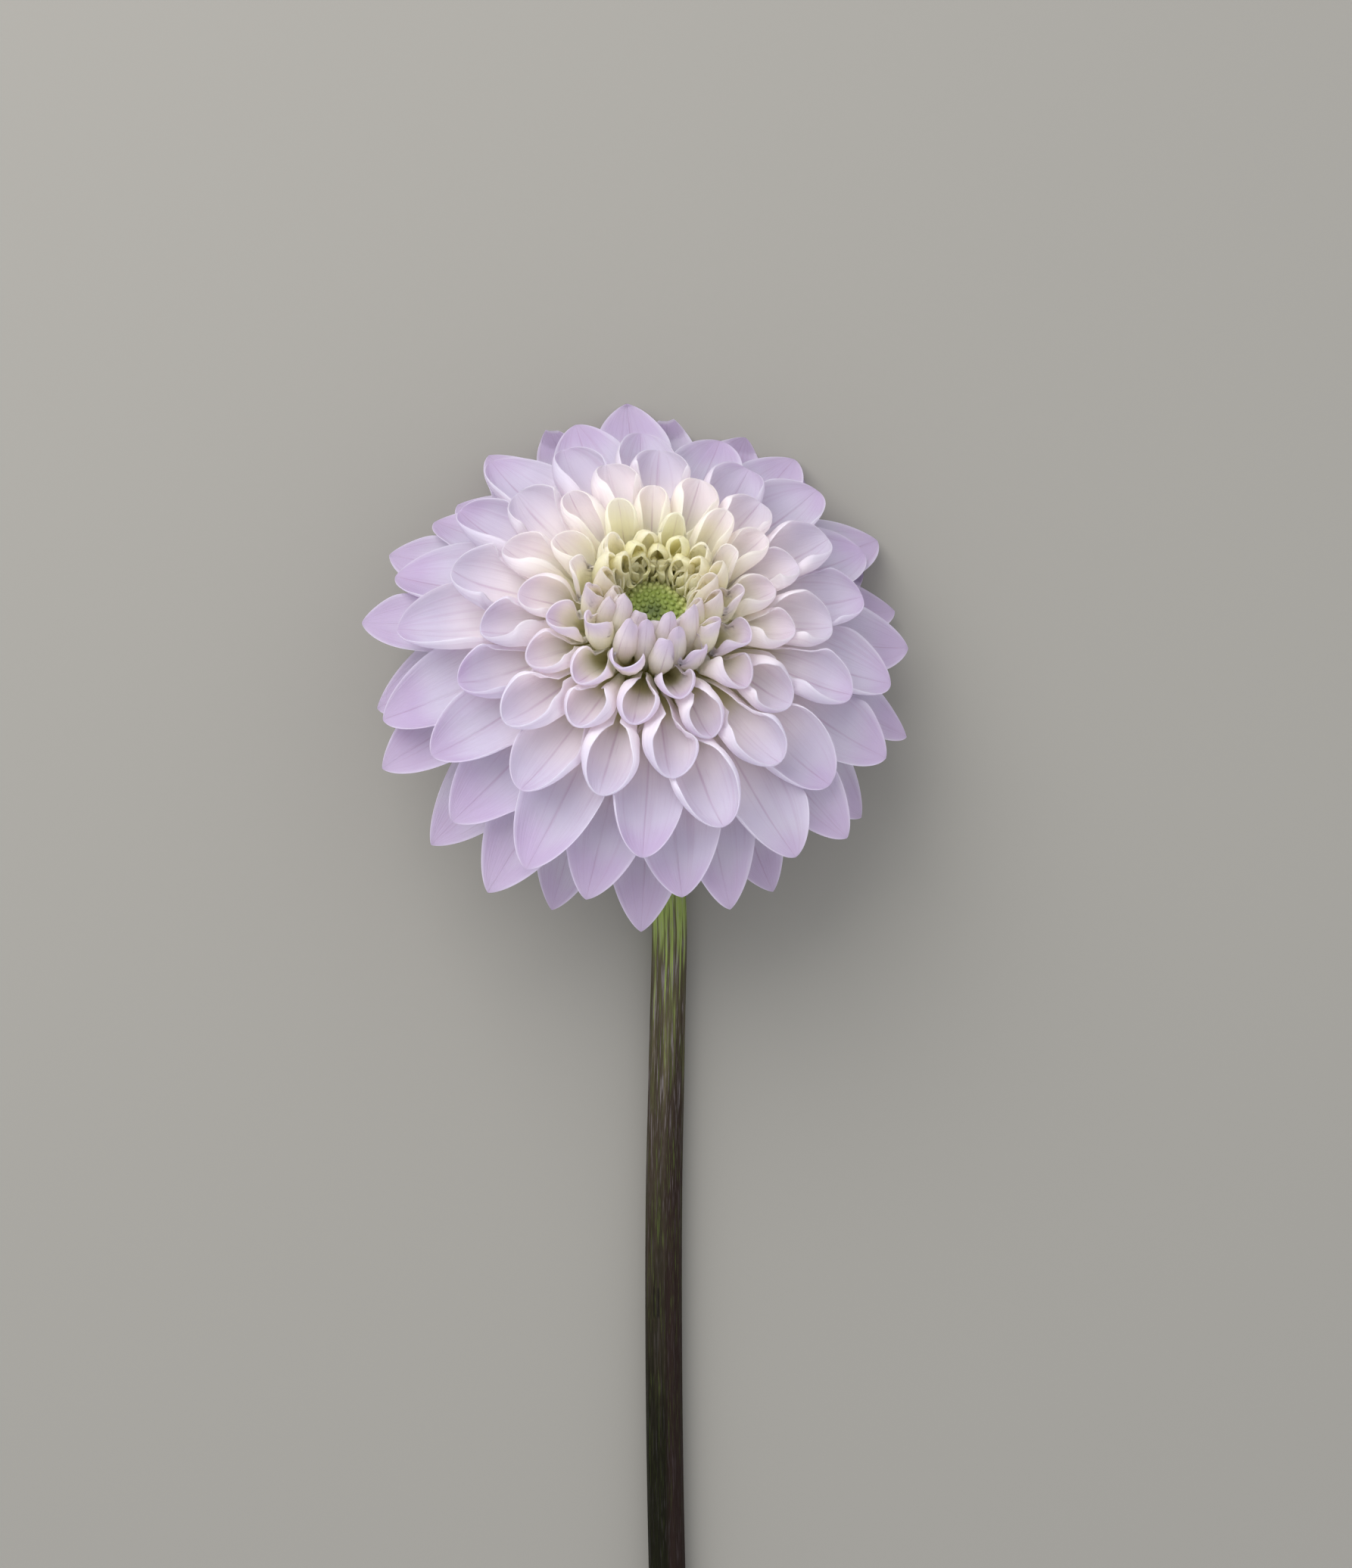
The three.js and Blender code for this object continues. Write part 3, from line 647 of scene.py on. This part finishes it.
def ring_faces(rows, around):
    """Quads between closed rings of points, and a many-sided cap at each end."""
    ring = np.arange(around)[None, :]
    return side_faces(rows, around), ring[:, ::-1], ring + (rows - 1) * around


def blade_faces(count, rows, around):
    """Quads over closed rings of points, and a cap of quads and triangles from face to face at both ends,
    for a number of blades that lie one after the other in the list of points. The rings of a blade run
    the other way round, and so do its faces."""
    half = around // 2
    j = np.arange(1, half - 1)
    cap = np.stack([j, j + 1, around - j - 1, around - j], -1)
    ends = np.array([[0, 1, around - 1], [half - 1, half, half + 1]])
    top = (rows - 1) * around
    sides = side_faces(rows, around)[:, [0, 3, 2, 1]]
    quads = np.concatenate([sides, cap, (cap + top)[:, ::-1]])
    triangles = np.concatenate([ends, (ends + top)[:, ::-1]])
    first = (np.arange(count) * rows * around)[:, None, None]
    return (quads + first).reshape(-1, 4), (triangles + first).reshape(-1, 3)


def add_object(name, data):
    """A new object in the scene."""
    new = bpy.data.objects.new(name, data)
    bpy.context.scene.collection.objects.link(new)
    return new


def add_piece(name, points, faces, material, numbers=None, blade=None):
    """A smooth mesh from points in mm and arrays of quads and triangles. numbers are values held by each
    point, and blade is the place of each point on its surface, which becomes a UV map."""
    mesh = bpy.data.meshes.new(name)
    corners = np.concatenate([part.ravel() for part in faces])
    sizes = np.concatenate([np.full(len(part), part.shape[1]) for part in faces])
    mesh.vertices.add(len(points))
    mesh.vertices.foreach_set("co", (points * MM).astype(np.float32).ravel())
    mesh.loops.add(len(corners))
    mesh.loops.foreach_set("vertex_index", corners.astype(np.int32))
    mesh.polygons.add(len(sizes))
    mesh.polygons.foreach_set("loop_start", (np.cumsum(sizes) - sizes).astype(np.int32))
    mesh.update(calc_edges=True)
    mesh.polygons.foreach_set("use_smooth", np.ones(len(sizes), bool))
    for key, values in (numbers or {}).items():
        attribute = mesh.attributes.new(key, "FLOAT", "POINT")
        attribute.data.foreach_set("value", values.astype(np.float32).ravel())
    if blade is not None:
        layer = mesh.uv_layers.new(name="blade")
        layer.uv.foreach_set("vector", blade[corners].astype(np.float32).ravel())
    mesh.validate()
    mesh.materials.append(material)
    piece = add_object(name, mesh)
    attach(piece, "root")
    return piece


def add_blades(name, head, leaf, rows, columns, thickness, material, ceiling=None):
    """One piece of many curled blades, pressed under the ceiling if there is one and held up by the floor.
    Each point holds the blade's age, its draw, how far it is on the far side, and which face it is on."""
    t = rows_along(rows)[None, :]
    x, y, across, facing = blade_sections(leaf, t, columns, thickness)
    points = place_blades(head, leaf, t, x, y)
    if ceiling is not None:
        press_under(head, points, ceiling)
    points = held_up(points)
    count, _, around = x.shape
    each = np.ones((count, rows, around))
    along = t[..., None] * each
    blade = np.stack([(1 + across) / 2 * each, along], -1).reshape(-1, 2)
    numbers = {key: leaf[key][:, None, None] * each for key in ("age", "pick", "far")}
    numbers["facing"] = facing * each
    faces = blade_faces(count, rows, around)
    return add_piece(name, points.reshape(-1, 3), faces, material, numbers, blade)


def spline(knots, count):
    """A smooth line through knots, at evenly spaced shares of its length: cubic pieces whose slopes are
    the weighted means of the chords on both sides."""
    knots = np.array(knots, float)
    chord = np.sqrt(np.linalg.norm(np.diff(knots, axis=0), axis=1))
    at = np.concatenate([[0], np.cumsum(chord)])
    slope = np.gradient(knots, at, axis=0)
    fine = np.linspace(0, at[-1], 20 * count)
    i = np.clip(np.searchsorted(at, fine, side="right") - 1, 0, len(knots) - 2)
    width = (at[i + 1] - at[i])[:, None]
    u = (fine[:, None] - at[i][:, None]) / width
    line = (
        (2 * u**3 - 3 * u**2 + 1) * knots[i]
        + (u**3 - 2 * u**2 + u) * width * slope[i]
        + (3 * u**2 - 2 * u**3) * knots[i + 1]
        + (u**3 - u**2) * width * slope[i + 1]
    )
    run = np.concatenate([[0], np.cumsum(np.linalg.norm(np.diff(line, axis=0), axis=1))])
    even = np.linspace(0, run[-1], count)
    return np.stack([np.interp(even, run, line[:, k]) for k in range(3)], -1), even


def turned(head, profile, rows, around, swelling=0.0):
    """Points of a smooth line through the profile, as radius and height, turned round the axis of the
    head. The mean of a sine of five waves and one of eight round it, times the swelling, is added."""
    axis = head_axes(head)[0]
    line, _ = spline([(radius, height, 0) for radius, height in profile], rows)
    angle = np.arange(around) * 2 * np.pi / around
    swell = swelling * (np.sin(5 * angle + 1) + np.sin(8 * angle + 2)) / 2
    radius = line[:, :1] + swell * np.minimum(1, line[:, :1] / EVEN_RADIUS)
    height = line[:, 1][:, None, None]
    points = seat_of(head) + radius[..., None] * outwards(head, angle)[None] + height * axis
    return points.reshape(-1, 3)


class Value:
    """A number, vector or colour that a node works out, so that materials can be written as formulas."""

    def __init__(self, tree, output):
        self.tree, self.output = tree, output

    def compute(self, operation, *others):
        """This number and the others put through a math node."""
        inputs = dict(enumerate((self, *others)))
        return node_of(self.tree, "ShaderNodeMath", inputs, operation=operation)

    def __add__(self, other):
        return self.compute("ADD", other)

    def __sub__(self, other):
        return self.compute("SUBTRACT", other)

    def __rsub__(self, other):
        return self * -1 + other

    def __mul__(self, other):
        return self.compute("MULTIPLY", other)

    def __abs__(self):
        return self.compute("ABSOLUTE")

    def step(self, low, high, to_low=0, to_high=1):
        """A smooth step from to_low, where this number is low, to to_high, where it is high."""
        inputs = dict(enumerate((self, low, high, to_low, to_high)))
        return node_of(self.tree, "ShaderNodeMapRange", inputs, interpolation_type="SMOOTHSTEP")


def feed(socket, value):
    """Links a worked out value to a socket, or sets the socket's own value."""
    if isinstance(value, Value):
        value.tree.links.new(value.output, socket)
    elif hasattr(value, "__len__") and len(value) == 3 and len(socket.default_value) == 4:
        socket.default_value = (*value, 1)
    else:
        socket.default_value = value


def node_of(tree, kind, inputs, output=0, **settings):
    """What a new node of this kind gives out, with these inputs and settings."""
    node = tree.nodes.new(kind)
    for key, value in settings.items():
        setattr(node, key, value)
    for key, value in inputs.items():
        feed(node.inputs[key], value)
    return Value(tree, node.outputs[output])


def blend(share, first, second):
    """The first colour, or the second where the share is 1."""
    inputs = {0: share, 6: first, 7: second}
    return node_of(share.tree, "ShaderNodeMix", inputs, 2, data_type="RGBA", clamp_result=True)


def colour_ramp(value, places, colours):
    """The colours at their places, eased from each to the next."""
    ramp = node_of(value.tree, "ShaderNodeValToRGB", {0: value})
    band = ramp.output.node.color_ramp
    band.interpolation = "EASE"
    for place in places[1:-1]:
        band.elements.new(place)
    for element, place, colour in zip(band.elements, places, colours):
        element.position, element.color = place, (*colour, 1)
    return ramp


def vector(*parts):
    """A vector of three numbers, the first of them worked out by a node."""
    return node_of(parts[0].tree, "ShaderNodeCombineXYZ", dict(enumerate(parts)))


def parts_of(whole):
    """The three numbers of a vector."""
    node = node_of(whole.tree, "ShaderNodeSeparateXYZ", {0: whole}).output.node
    return [Value(whole.tree, output) for output in node.outputs]


def noise(place, scale=1, detail=2, roughness=0.5):
    """Noise at a place, finer the larger the scale."""
    inputs = {"Vector": place, "Scale": scale, "Detail": detail, "Roughness": roughness}
    return node_of(place.tree, "ShaderNodeTexNoise", inputs)


def raised(height, strength, distance):
    """Normals of a surface with small bumps of this height in millimetres."""
    inputs = {"Height": height, "Strength": strength, "Distance": distance * MM}
    return node_of(height.tree, "ShaderNodeBump", inputs)


def held(tree, name, kind="Fac"):
    """A number or a vector that each point of the mesh holds."""
    return node_of(tree, "ShaderNodeAttribute", {}, kind, attribute_name=name)


def object_place(tree):
    """The place in the object's own space, in metres."""
    return node_of(tree, "ShaderNodeTexCoord", {}, "Object")


def new_material(name, finish):
    """A material with plain values on its shader's sockets, by the sockets' names."""
    material = bpy.data.materials.new(name)
    material.use_nodes = True
    tree = material.node_tree
    shader = tree.nodes["Principled BSDF"]
    for key, value in finish.items():
        shader.inputs[key].default_value = value
    return material, tree, shader


def petal_material(head):
    """Cream roots that turn blush, pale lilac and then lilac at the tip, with fine veins, a middle line,
    paler margins and a warmer tint on the younger florets."""
    finish = {
        "Roughness": 0.55, "Sheen Weight": 0.12, "Sheen Roughness": 0.5, "Specular IOR Level": 0.35,
        "Subsurface Weight": 0.3, "Subsurface Scale": 0.002, "Subsurface Radius": (1.0, 0.9, 0.85),
    }
    material, tree, shader = new_material("petal_tissue", finish)
    across, along, _ = parts_of(node_of(tree, "ShaderNodeUVMap", {}, uv_map="blade"))
    age, pick, far, facing = (held(tree, name) for name in ("age", "pick", "far", "facing"))
    from_middle = abs(across * 2 - 1)
    young = age.step(0.35, 0.62)

    # Long veins, short dashes and soft clouds, at another place in the noise for each floret
    shift = pick * 31
    lines = noise(vector(across * 26 + shift, along, shift), 1, 3)
    fine = noise(vector(across * 90, along * 5, shift))
    cloud = noise(vector(across * 2, along * 2.5, shift))

    # The older a floret, the further it runs through the tints.
    reach = age.step(0.15, 0.7, 1.1, 0.5) - young * far * 0.2
    place = along * reach + (cloud - 0.5) * 0.22 + (pick - 0.5) * 0.1
    tints = (head.claw, head.cream, head.blush, head.pale_lilac, head.lilac)
    colour = colour_ramp(place, TINT_PLACES, tints)

    # Young florets have lilac tips, fainter on the far side and on the youngest.
    tip = along.step(0.66, 1, 0, 0.75) * age.step(0.4, 0.6) * age.step(0.76, 0.9, 1, 0.3)
    colour = blend(tip * far.step(0.35, 0.8, 1, 0.1), colour, head.lilac)

    # Tubes are yellower down in their throats, and painted shade makes them darker there, most of all on the
    # near side.
    throat_tint_and_shade = along.step(0.36, 0.56, 0.75, 0) * far.step(0.3, 0.8, 1, 0.2) * facing
    throat_tint_and_shade = throat_tint_and_shade * age.step(0.25, 0.4) * age.step(0.55, 0.66, 1, 0)
    colour = blend(throat_tint_and_shade, colour, THROAT_TINT_AND_SHADE)

    # The young florets on the far side are yellower.
    colour = blend(far * age.step(0.56, 0.8, 0, 0.6), colour, YOUNG_YELLOW)

    # Margins and backs are paler.
    pale = blend(young * far, PALE_MARGIN, YOUNG_MARGIN)
    colour = blend(from_middle.step(0.8, 1) * 0.4, colour, pale)
    colour = blend((1 - facing) * along.step(0.3, 0.6) * 0.2, colour, pale)

    # Veins and dashes, which are fainter on young florets, and a broken line along the middle
    old = 1 - young * 0.7
    middle = from_middle.step(0, 0.035, 1, 0)
    for mark in (
        lines.step(0.52, 0.68) * old * 0.12,
        fine.step(0.66, 0.74) * old * 0.14,
        middle * cloud.step(0.35, 0.6, 0.05, 0.35) * along.step(0.3, 0.6),
    ):
        colour = blend(mark, colour, head.vein)
    bumps = raised(fine * 0.35 + lines * 0.9 - middle * 0.5, 0.45, 0.35)

    # Thin tissue lets part of the light through.
    feed(shader.inputs["Base Color"], colour)
    feed(shader.inputs["Normal"], bumps)
    through = node_of(tree, "ShaderNodeBsdfTranslucent", {"Color": colour, "Normal": bumps})
    layers = {0: TRANSLUCENCY, 1: Value(tree, shader.outputs[0]), 2: through}
    feed(tree.nodes["Material Output"].inputs["Surface"], node_of(tree, "ShaderNodeMixShader", layers))
    return material


def green_tissue(name):
    """Soft green tissue with a fine grain, its place, and the socket that its colour goes to."""
    material, tree, shader = new_material(name, {"Roughness": 0.5, "Specular IOR Level": 0.35})
    place = object_place(tree)
    feed(shader.inputs["Normal"], raised(noise(place, 1500), 0.3, 0.15))
    return material, place, shader.inputs["Base Color"]


def green_material(name, colour, pale):
    """Green tissue, mottled and paler in places."""
    material, place, base = green_tissue(name)
    feed(base, blend(noise(place, 420, 4).step(0.35, 0.7), colour, pale))
    return material


def disc_material(head):
    """Green buds, dark in the middle of the disc and pale at its edge."""
    material, place, base = green_tissue("bud_green")
    share = held(place.tree, "share") + noise(place, 700) * 0.3
    feed(base, colour_ramp(share, DISC_TINT_PLACES, (DISC_DARK, head.disc_green, DISC_PALE)))
    return material


def stem_material(stem):
    """Green under the head and dark purple brown lower down, with streaks along the stem."""
    material, tree, shader = new_material("stem_skin", {"Roughness": 0.5, "Specular IOR Level": 0.06})
    x, y, along = parts_of(held(tree, "wrap", "Vector"))
    streaks = noise(vector(x, y, along * 1.6), 4.5, 4, 0.6)
    hairline = noise(vector(x, y, along * 2.4), 13, 3, 0.6)
    blotch = noise(vector(x, y, along * 14), 1.3, 3)
    place = along + (streaks - 0.5) * 0.45 + (blotch - 0.5) * 0.1
    tints = (stem.fresh_green, stem.fresh_green, STEM_OLIVE, stem.purple_brown, stem.dark_foot)
    colour = colour_ramp(place, STEM_TINT_PLACES, tints)

    # Purple on the right, and green flecks and a grey bloom that fade towards the foot
    for share, tint in (
        ((x + streaks).step(0.4, 0.9) * along.step(0.3, 0.5, 0.1, 0.75), STEM_PURPLE),
        (hairline.step(0.3, 0.46, 0.7, 0) * along.step(0.3, 0.95, 1, 0), STEM_FLECK),
        (hairline.step(0.52, 0.7) * along.step(0.3, 0.6, 0.7, 0.08), STEM_GREY),
    ):
        colour = blend(share, colour, tint)

    # The healed split: two sunken dark lines with a lip between them
    right, far, high = (part * (1 / MM) for part in parts_of(object_place(tree)))
    aside = abs(right - SPLIT_MIDDLE[0] + (streaks - 0.5) * SPLIT_WAVER)
    split = abs(aside - SPLIT_OFFSET).step(*SPLIT_FADE, 1, 0)
    split = split * abs(far - SPLIT_MIDDLE[1]).step(*SPLIT_END, 1, 0) * high.step(*SPLIT_HEIGHT)
    colour = blend(split * 0.8, colour, SPLIT_DARK)
    colour = blend(along.step(1 + CUT_EDGE, CUT_MARK - CUT_EDGE), colour, CUT_GREEN)
    feed(shader.inputs["Base Color"], colour)
    feed(shader.inputs["Normal"], raised(hairline - split * 1.6, 0.5, 0.25))
    return material


def stem_surface(head, stem):
    """Points of the stem in rings, and for each point the cosine and the sine of its angle round the stem
    and its share of the length. A tube is carried along the smooth centre line, its radius going
    smoothly from the neck's to the foot's, and low ribs follow a cosine round it. Past the end the skin
    turns in over the cut face and back up into the hollow pith, and nothing goes below the floor."""
    neck_radius, foot_radius = stem.neck_radius / MM, stem.foot_radius / MM
    knots = [seat_of(head) + head_axes(head)[0] * height for height in STEM_NECK]
    knots += list(STEM_BEND)
    knots += [(x, y, foot_radius) for x, y in STEM_BOW]
    line, run = spline(knots, STEM_ROWS)
    tangent = np.gradient(line, axis=0)
    tangent = np.concatenate([tangent, np.repeat(tangent[-1:], len(PITH_DEPTH), axis=0)])
    tangent /= np.linalg.norm(tangent, axis=1)[:, None]
    side = np.array([1.0, 0, 0]) - tangent[:, :1] * tangent
    side /= np.linalg.norm(side, axis=1)[:, None]
    up = np.cross(side, tangent)
    depth = run[-1] - np.array(PITH_DEPTH)
    inside = np.stack([np.interp(depth, run, line[:, k]) for k in range(3)], -1)
    line = np.concatenate([line, inside])[:, None]
    share = np.clip(np.concatenate([run, depth]) / run[-1], 0, 1)[:, None]
    radius = neck_radius + (foot_radius - neck_radius) * smooth(share / NECK_SHARE)
    radius[STEM_ROWS:, 0] *= PITH_RADIUS
    angle = np.arange(STEM_AROUND) * 2 * np.pi / STEM_AROUND
    ribs = np.cos(stem.ribs * angle + RIB_UNEVENNESS * np.sin(2 * angle) + RIB_TURN * share)
    ring = (radius * (1 + RIB_HEIGHT * ribs))[..., None]
    cosine, sine = np.cos(angle)[:, None], np.sin(angle)[:, None]
    points = line + ring * cosine * side[:, None] + ring * sine * up[:, None]
    points[..., 2] = np.maximum(points[..., 2], 0.0)
    share[STEM_ROWS:] = CUT_MARK
    return points, np.stack(np.broadcast_arrays(cosine[:, 0], sine[:, 0], share), -1)


def grow_bracts(head, ring):
    """The place and the traits of a ring of bracts, which are evenly spaced round the axis."""
    i = np.arange(ring["count"])
    same = np.ones(len(i))
    return {
        **{key: value * same for key, value in BRACT_TRAITS.items()},
        "outward": outwards(head, np.radians(ring["first_angle"]) + 2 * np.pi * i / len(i)),
        **{key: ring[key] * same for key in ("radius", "height", "width")},
        "length": ring["length"] * (1 + BRACT_STRAY["length"] * draw(i, 3)),
        "base_angle": np.radians(ring["base_angle"]) * same,
        "blade_angle": np.radians(ring["blade_angle"] + BRACT_STRAY["blade_angle"] * draw(i, 4)),
        "tip_turn": np.radians(BRACT_STRAY["tip_turn"]) * draw(i, 5),
        "sweep": BRACT_STRAY["sweep"] * draw(i, 6),
        "twist": np.radians(BRACT_STRAY["twist"]) * draw(i, 8),
        "roll": np.radians(BRACT_STRAY["roll"]) * draw(i, 9),
        "pick": (draw(i, 12) + 1) / 2,
    }


def dome_height(share):
    """Height of the disc above the seat: it falls as the square of the share of its radius."""
    return DISC_FLOOR + DISC_EDGE + DISC_RISE * (1 - share**2)


def bud_points(head, i, share):
    """Points of buds i at shares of the disc's radius: lobed spheroids with a dimple in the pole, set
    square on a line that leans outwards, each turned on from the last by the golden angle."""
    axis, across, _ = head_axes(head)
    outward = outwards(head, i * GOLDEN_ANGLE)
    centre = seat_of(head) + (share * DISC_RADIUS)[:, None] * outward + dome_height(share)[:, None] * axis
    bud_axis = axis + BUD_LEAN * share[:, None] * outward
    bud_axis /= np.linalg.norm(bud_axis, axis=1)[:, None]
    first = across - (bud_axis @ across)[:, None] * bud_axis
    first /= np.linalg.norm(first, axis=1)[:, None]
    second = np.cross(bud_axis, first)
    polar = np.linspace(BUD_POLE, np.pi - BUD_POLE, BUD_ROWS)[:, None]
    angle = (np.arange(BUD_AROUND) * 2 * np.pi / BUD_AROUND)[None, :]
    radius = (BUD_RADIUS + BUD_GROWTH * share + BUD_STRAY * draw(i, 21))[:, None, None]
    wide = radius * np.sin(polar) * (1 + BUD_LOBE_DEPTH * np.cos(BUD_LOBES * angle) * np.cos(polar / 2) ** 2)
    dimple = BUD_DIMPLE * np.exp(-((polar / BUD_DIMPLE_SPREAD) ** 2))
    tall = radius * (BUD_HEIGHT * np.cos(polar) - dimple)
    return (
        centre[:, None, None]
        + (wide * np.cos(angle))[..., None] * first[:, None, None]
        + (wide * np.sin(angle))[..., None] * second[:, None, None]
        + tall[..., None] * bud_axis[:, None, None]
    )


class DAHLIA_OT_stem(bpy.types.Operator):
    """Builds the stem, from its socket in the cup to its cut end"""

    bl_idname = "dahlia.stem"
    bl_label = "Stem"

    def execute(self, context):
        stem = context.scene.dahlia_stem
        points, wrap = stem_surface(context.scene.dahlia_head, stem)
        # The rings run the other way round, and so do the faces.
        faces = [part[:, ::-1] for part in ring_faces(*points.shape[:2])]
        piece = add_piece("flower_stem", points.reshape(-1, 3), faces, stem_material(stem))
        attribute = piece.data.attributes.new("wrap", "FLOAT_VECTOR", "POINT")
        attribute.data.foreach_set("vector", wrap.astype(np.float32).ravel())
        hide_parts("stem")
        return {"FINISHED"}


class DAHLIA_OT_involucre(bpy.types.Operator):
    """Builds the green cup under the head and its two rings of bracts"""

    bl_idname = "dahlia.involucre"
    bl_label = "Cup and bracts"

    def execute(self, context):
        head = context.scene.dahlia_head
        green = green_material("bract_green", *BRACT_GREENS)
        points = turned(head, CUP_PROFILE, TURNED_ROWS, TURNED_AROUND, CUP_SWELLING)
        pieces = [add_piece("receptacle_cup", points, ring_faces(TURNED_ROWS, TURNED_AROUND), green)]
        for ring in BRACT_RINGS:
            leaf = grow_bracts(head, ring)
            pieces.append(
                add_blades(ring["name"], head, leaf, BRACT_ROWS, BRACT_COLUMNS, ring["thickness"], green)
            )
        for piece in pieces:
            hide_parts("involucre")
        return {"FINISHED"}


class DAHLIA_OT_rays(bpy.types.Operator):
    """Builds the ray florets layer by layer, and the core that they grow from"""

    bl_idname = "dahlia.rays"
    bl_label = "Ray florets"

    def execute(self, context):
        head = context.scene.dahlia_head
        tissue = petal_material(head)
        thickness = head.blade_thickness / MM
        cells = round(2 * PRESS_REACH / PRESS_CELL)
        ceiling = np.full((cells, cells), OPEN_SKY)
        share = head.florets / (NUMBERS[-1] + 1)
        for name, first, last, rows, columns in reversed(LAYERS):
            leaf = grow_florets(head, np.arange(round(share * first), round(share * (last + 1))))
            piece = add_blades(name, head, leaf, rows, columns, thickness, tissue, ceiling)
            node = "young_florets" if name == "rays_young" else "ray_florets"
            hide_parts(node)
        points = turned(head, CORE_PROFILE, TURNED_ROWS, TURNED_AROUND, CORE_SWELLING)
        core_green = green_material("core_green", *CORE_GREENS)
        core = add_piece("receptacle_core", points, ring_faces(TURNED_ROWS, TURNED_AROUND), core_green)
        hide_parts("ray_florets")
        return {"FINISHED"}


class DAHLIA_OT_disc(bpy.types.Operator):
    """Builds the green disc and its spiral of unopened buds"""

    bl_idname = "dahlia.disc"
    bl_label = "Disc florets"

    def execute(self, context):
        head = context.scene.dahlia_head
        axis = head_axes(head)[0]
        green = disc_material(head)
        shares = np.linspace(1, DISC_CAP, DISC_KNOTS)
        profile = [(DISC_RADIUS - DISC_UNDERCUT, DISC_FLOOR), *zip(DISC_RADIUS * shares, dome_height(shares))]
        points = turned(head, profile, DISC_ROWS, DISC_AROUND)
        middle = seat_of(head) + DISC_FLOOR * axis
        far_out = np.linalg.norm(np.cross(points - middle, axis), axis=1) / DISC_RADIUS
        dome = add_piece("disc_dome", points, ring_faces(DISC_ROWS, DISC_AROUND), green, {"share": far_out})
        i = np.arange(head.disc_buds)
        share = np.sqrt((i + 0.5) / head.disc_buds)
        points = bud_points(head, i, share).reshape(-1, 3)
        each = BUD_ROWS * BUD_AROUND
        start = (i * each)[:, None, None]
        # The rings of a bud run the other way round, and so do its faces.
        one = ring_faces(BUD_ROWS, BUD_AROUND)
        faces = [(part[None, :, ::-1] + start).reshape(-1, part.shape[1]) for part in one]
        buds = add_piece("disc_buds", points, faces, green, {"share": np.repeat(share, each)})
        for piece in (dome, buds):
            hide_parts("disc_florets")
        return {"FINISHED"}


class DAHLIA_OT_stage(bpy.types.Operator):
    """Sets the plain floor, the soft light and the camera that looks straight down"""

    bl_idname = "dahlia.stage"
    bl_label = "Stage"

    def execute(self, context):
        scene, stage = context.scene, context.scene.dahlia_stage
        finish = {"Roughness": 0.85, "Base Color": (*stage.floor_colour, 1)}
        material, _, _ = new_material("floor_paper", finish)
        half = FLOOR_SIZE / 2 * MM
        corners = [(-half, -half, 0), (half, -half, 0), (half, half, 0), (-half, half, 0)]
        mesh = bpy.data.meshes.new("floor")
        mesh.from_pydata(corners, [], [(0, 1, 2, 3)])
        mesh.materials.append(material)
        floor = add_object("floor", mesh)

        world = bpy.data.worlds.new("sky")
        world.use_nodes = True
        background = world.node_tree.nodes["Background"]
        background.inputs["Color"].default_value = (*SKY_TINT, 1)
        background.inputs["Strength"].default_value = stage.sky
        scene.world = world

        lamp = bpy.data.lights.new("softbox", "AREA")
        lamp.size = LIGHT_SIZE * MM
        lamp.energy = stage.softbox
        light = add_object("softbox", lamp)
        light.location = Vector(LIGHT_PLACE) * MM
        aim = Vector(LIGHT_AIM) - Vector(LIGHT_PLACE)
        light.rotation_mode = "QUATERNION"
        light.rotation_quaternion = aim.to_track_quat("-Z", "Y")

        camera = bpy.data.cameras.new("camera")
        camera.sensor_width = SENSOR
        camera.lens = SENSOR * EYE_HEIGHT / FLOOR_SEEN
        eye = add_object("camera", camera)
        eye.location = (CAMERA_PLACE[0] * MM, CAMERA_PLACE[1] * MM, stage.camera_height)
        scene.camera = eye
        scene.view_settings.view_transform = "Standard"
        return {"FINISHED"}


class DAHLIA_PT_panel(bpy.types.Panel):
    """Lists what can be built and all settings"""

    bl_idname = "DAHLIA_PT_panel"
    bl_label = "Dahlia"
    bl_space_type = "VIEW_3D"
    bl_region_type = "UI"
    bl_category = "Dahlia"

    def draw(self, context):
        for operator in OPERATORS:
            self.layout.operator(operator.bl_idname)
        for settings in (context.scene.dahlia_head, context.scene.dahlia_stem, context.scene.dahlia_stage):
            box = self.layout.box()
            for name in settings.__annotations__:
                box.prop(settings, name)


OPERATORS = (
    DAHLIA_OT_stem,
    DAHLIA_OT_involucre,
    DAHLIA_OT_rays,
    DAHLIA_OT_disc,
    DAHLIA_OT_stage,
)
CLASSES = (HeadSettings, StemSettings, StageSettings, *OPERATORS, DAHLIA_PT_panel)


def register():
    for cls in CLASSES:
        bpy.utils.register_class(cls)
    bpy.types.Scene.dahlia_head = PointerProperty(type=HeadSettings)
    bpy.types.Scene.dahlia_stem = PointerProperty(type=StemSettings)
    bpy.types.Scene.dahlia_stage = PointerProperty(type=StageSettings)


def unregister():
    del bpy.types.Scene.dahlia_stage
    del bpy.types.Scene.dahlia_stem
    del bpy.types.Scene.dahlia_head
    for cls in reversed(CLASSES):
        bpy.utils.unregister_class(cls)


def main():
    """Builds the flower and its stage."""
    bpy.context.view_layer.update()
    register()
    bpy.ops.dahlia.stem()
    bpy.ops.dahlia.involucre()
    bpy.ops.dahlia.rays()
    bpy.ops.dahlia.disc()
    bpy.ops.dahlia.stage()


if __name__ == "__main__":
    main()
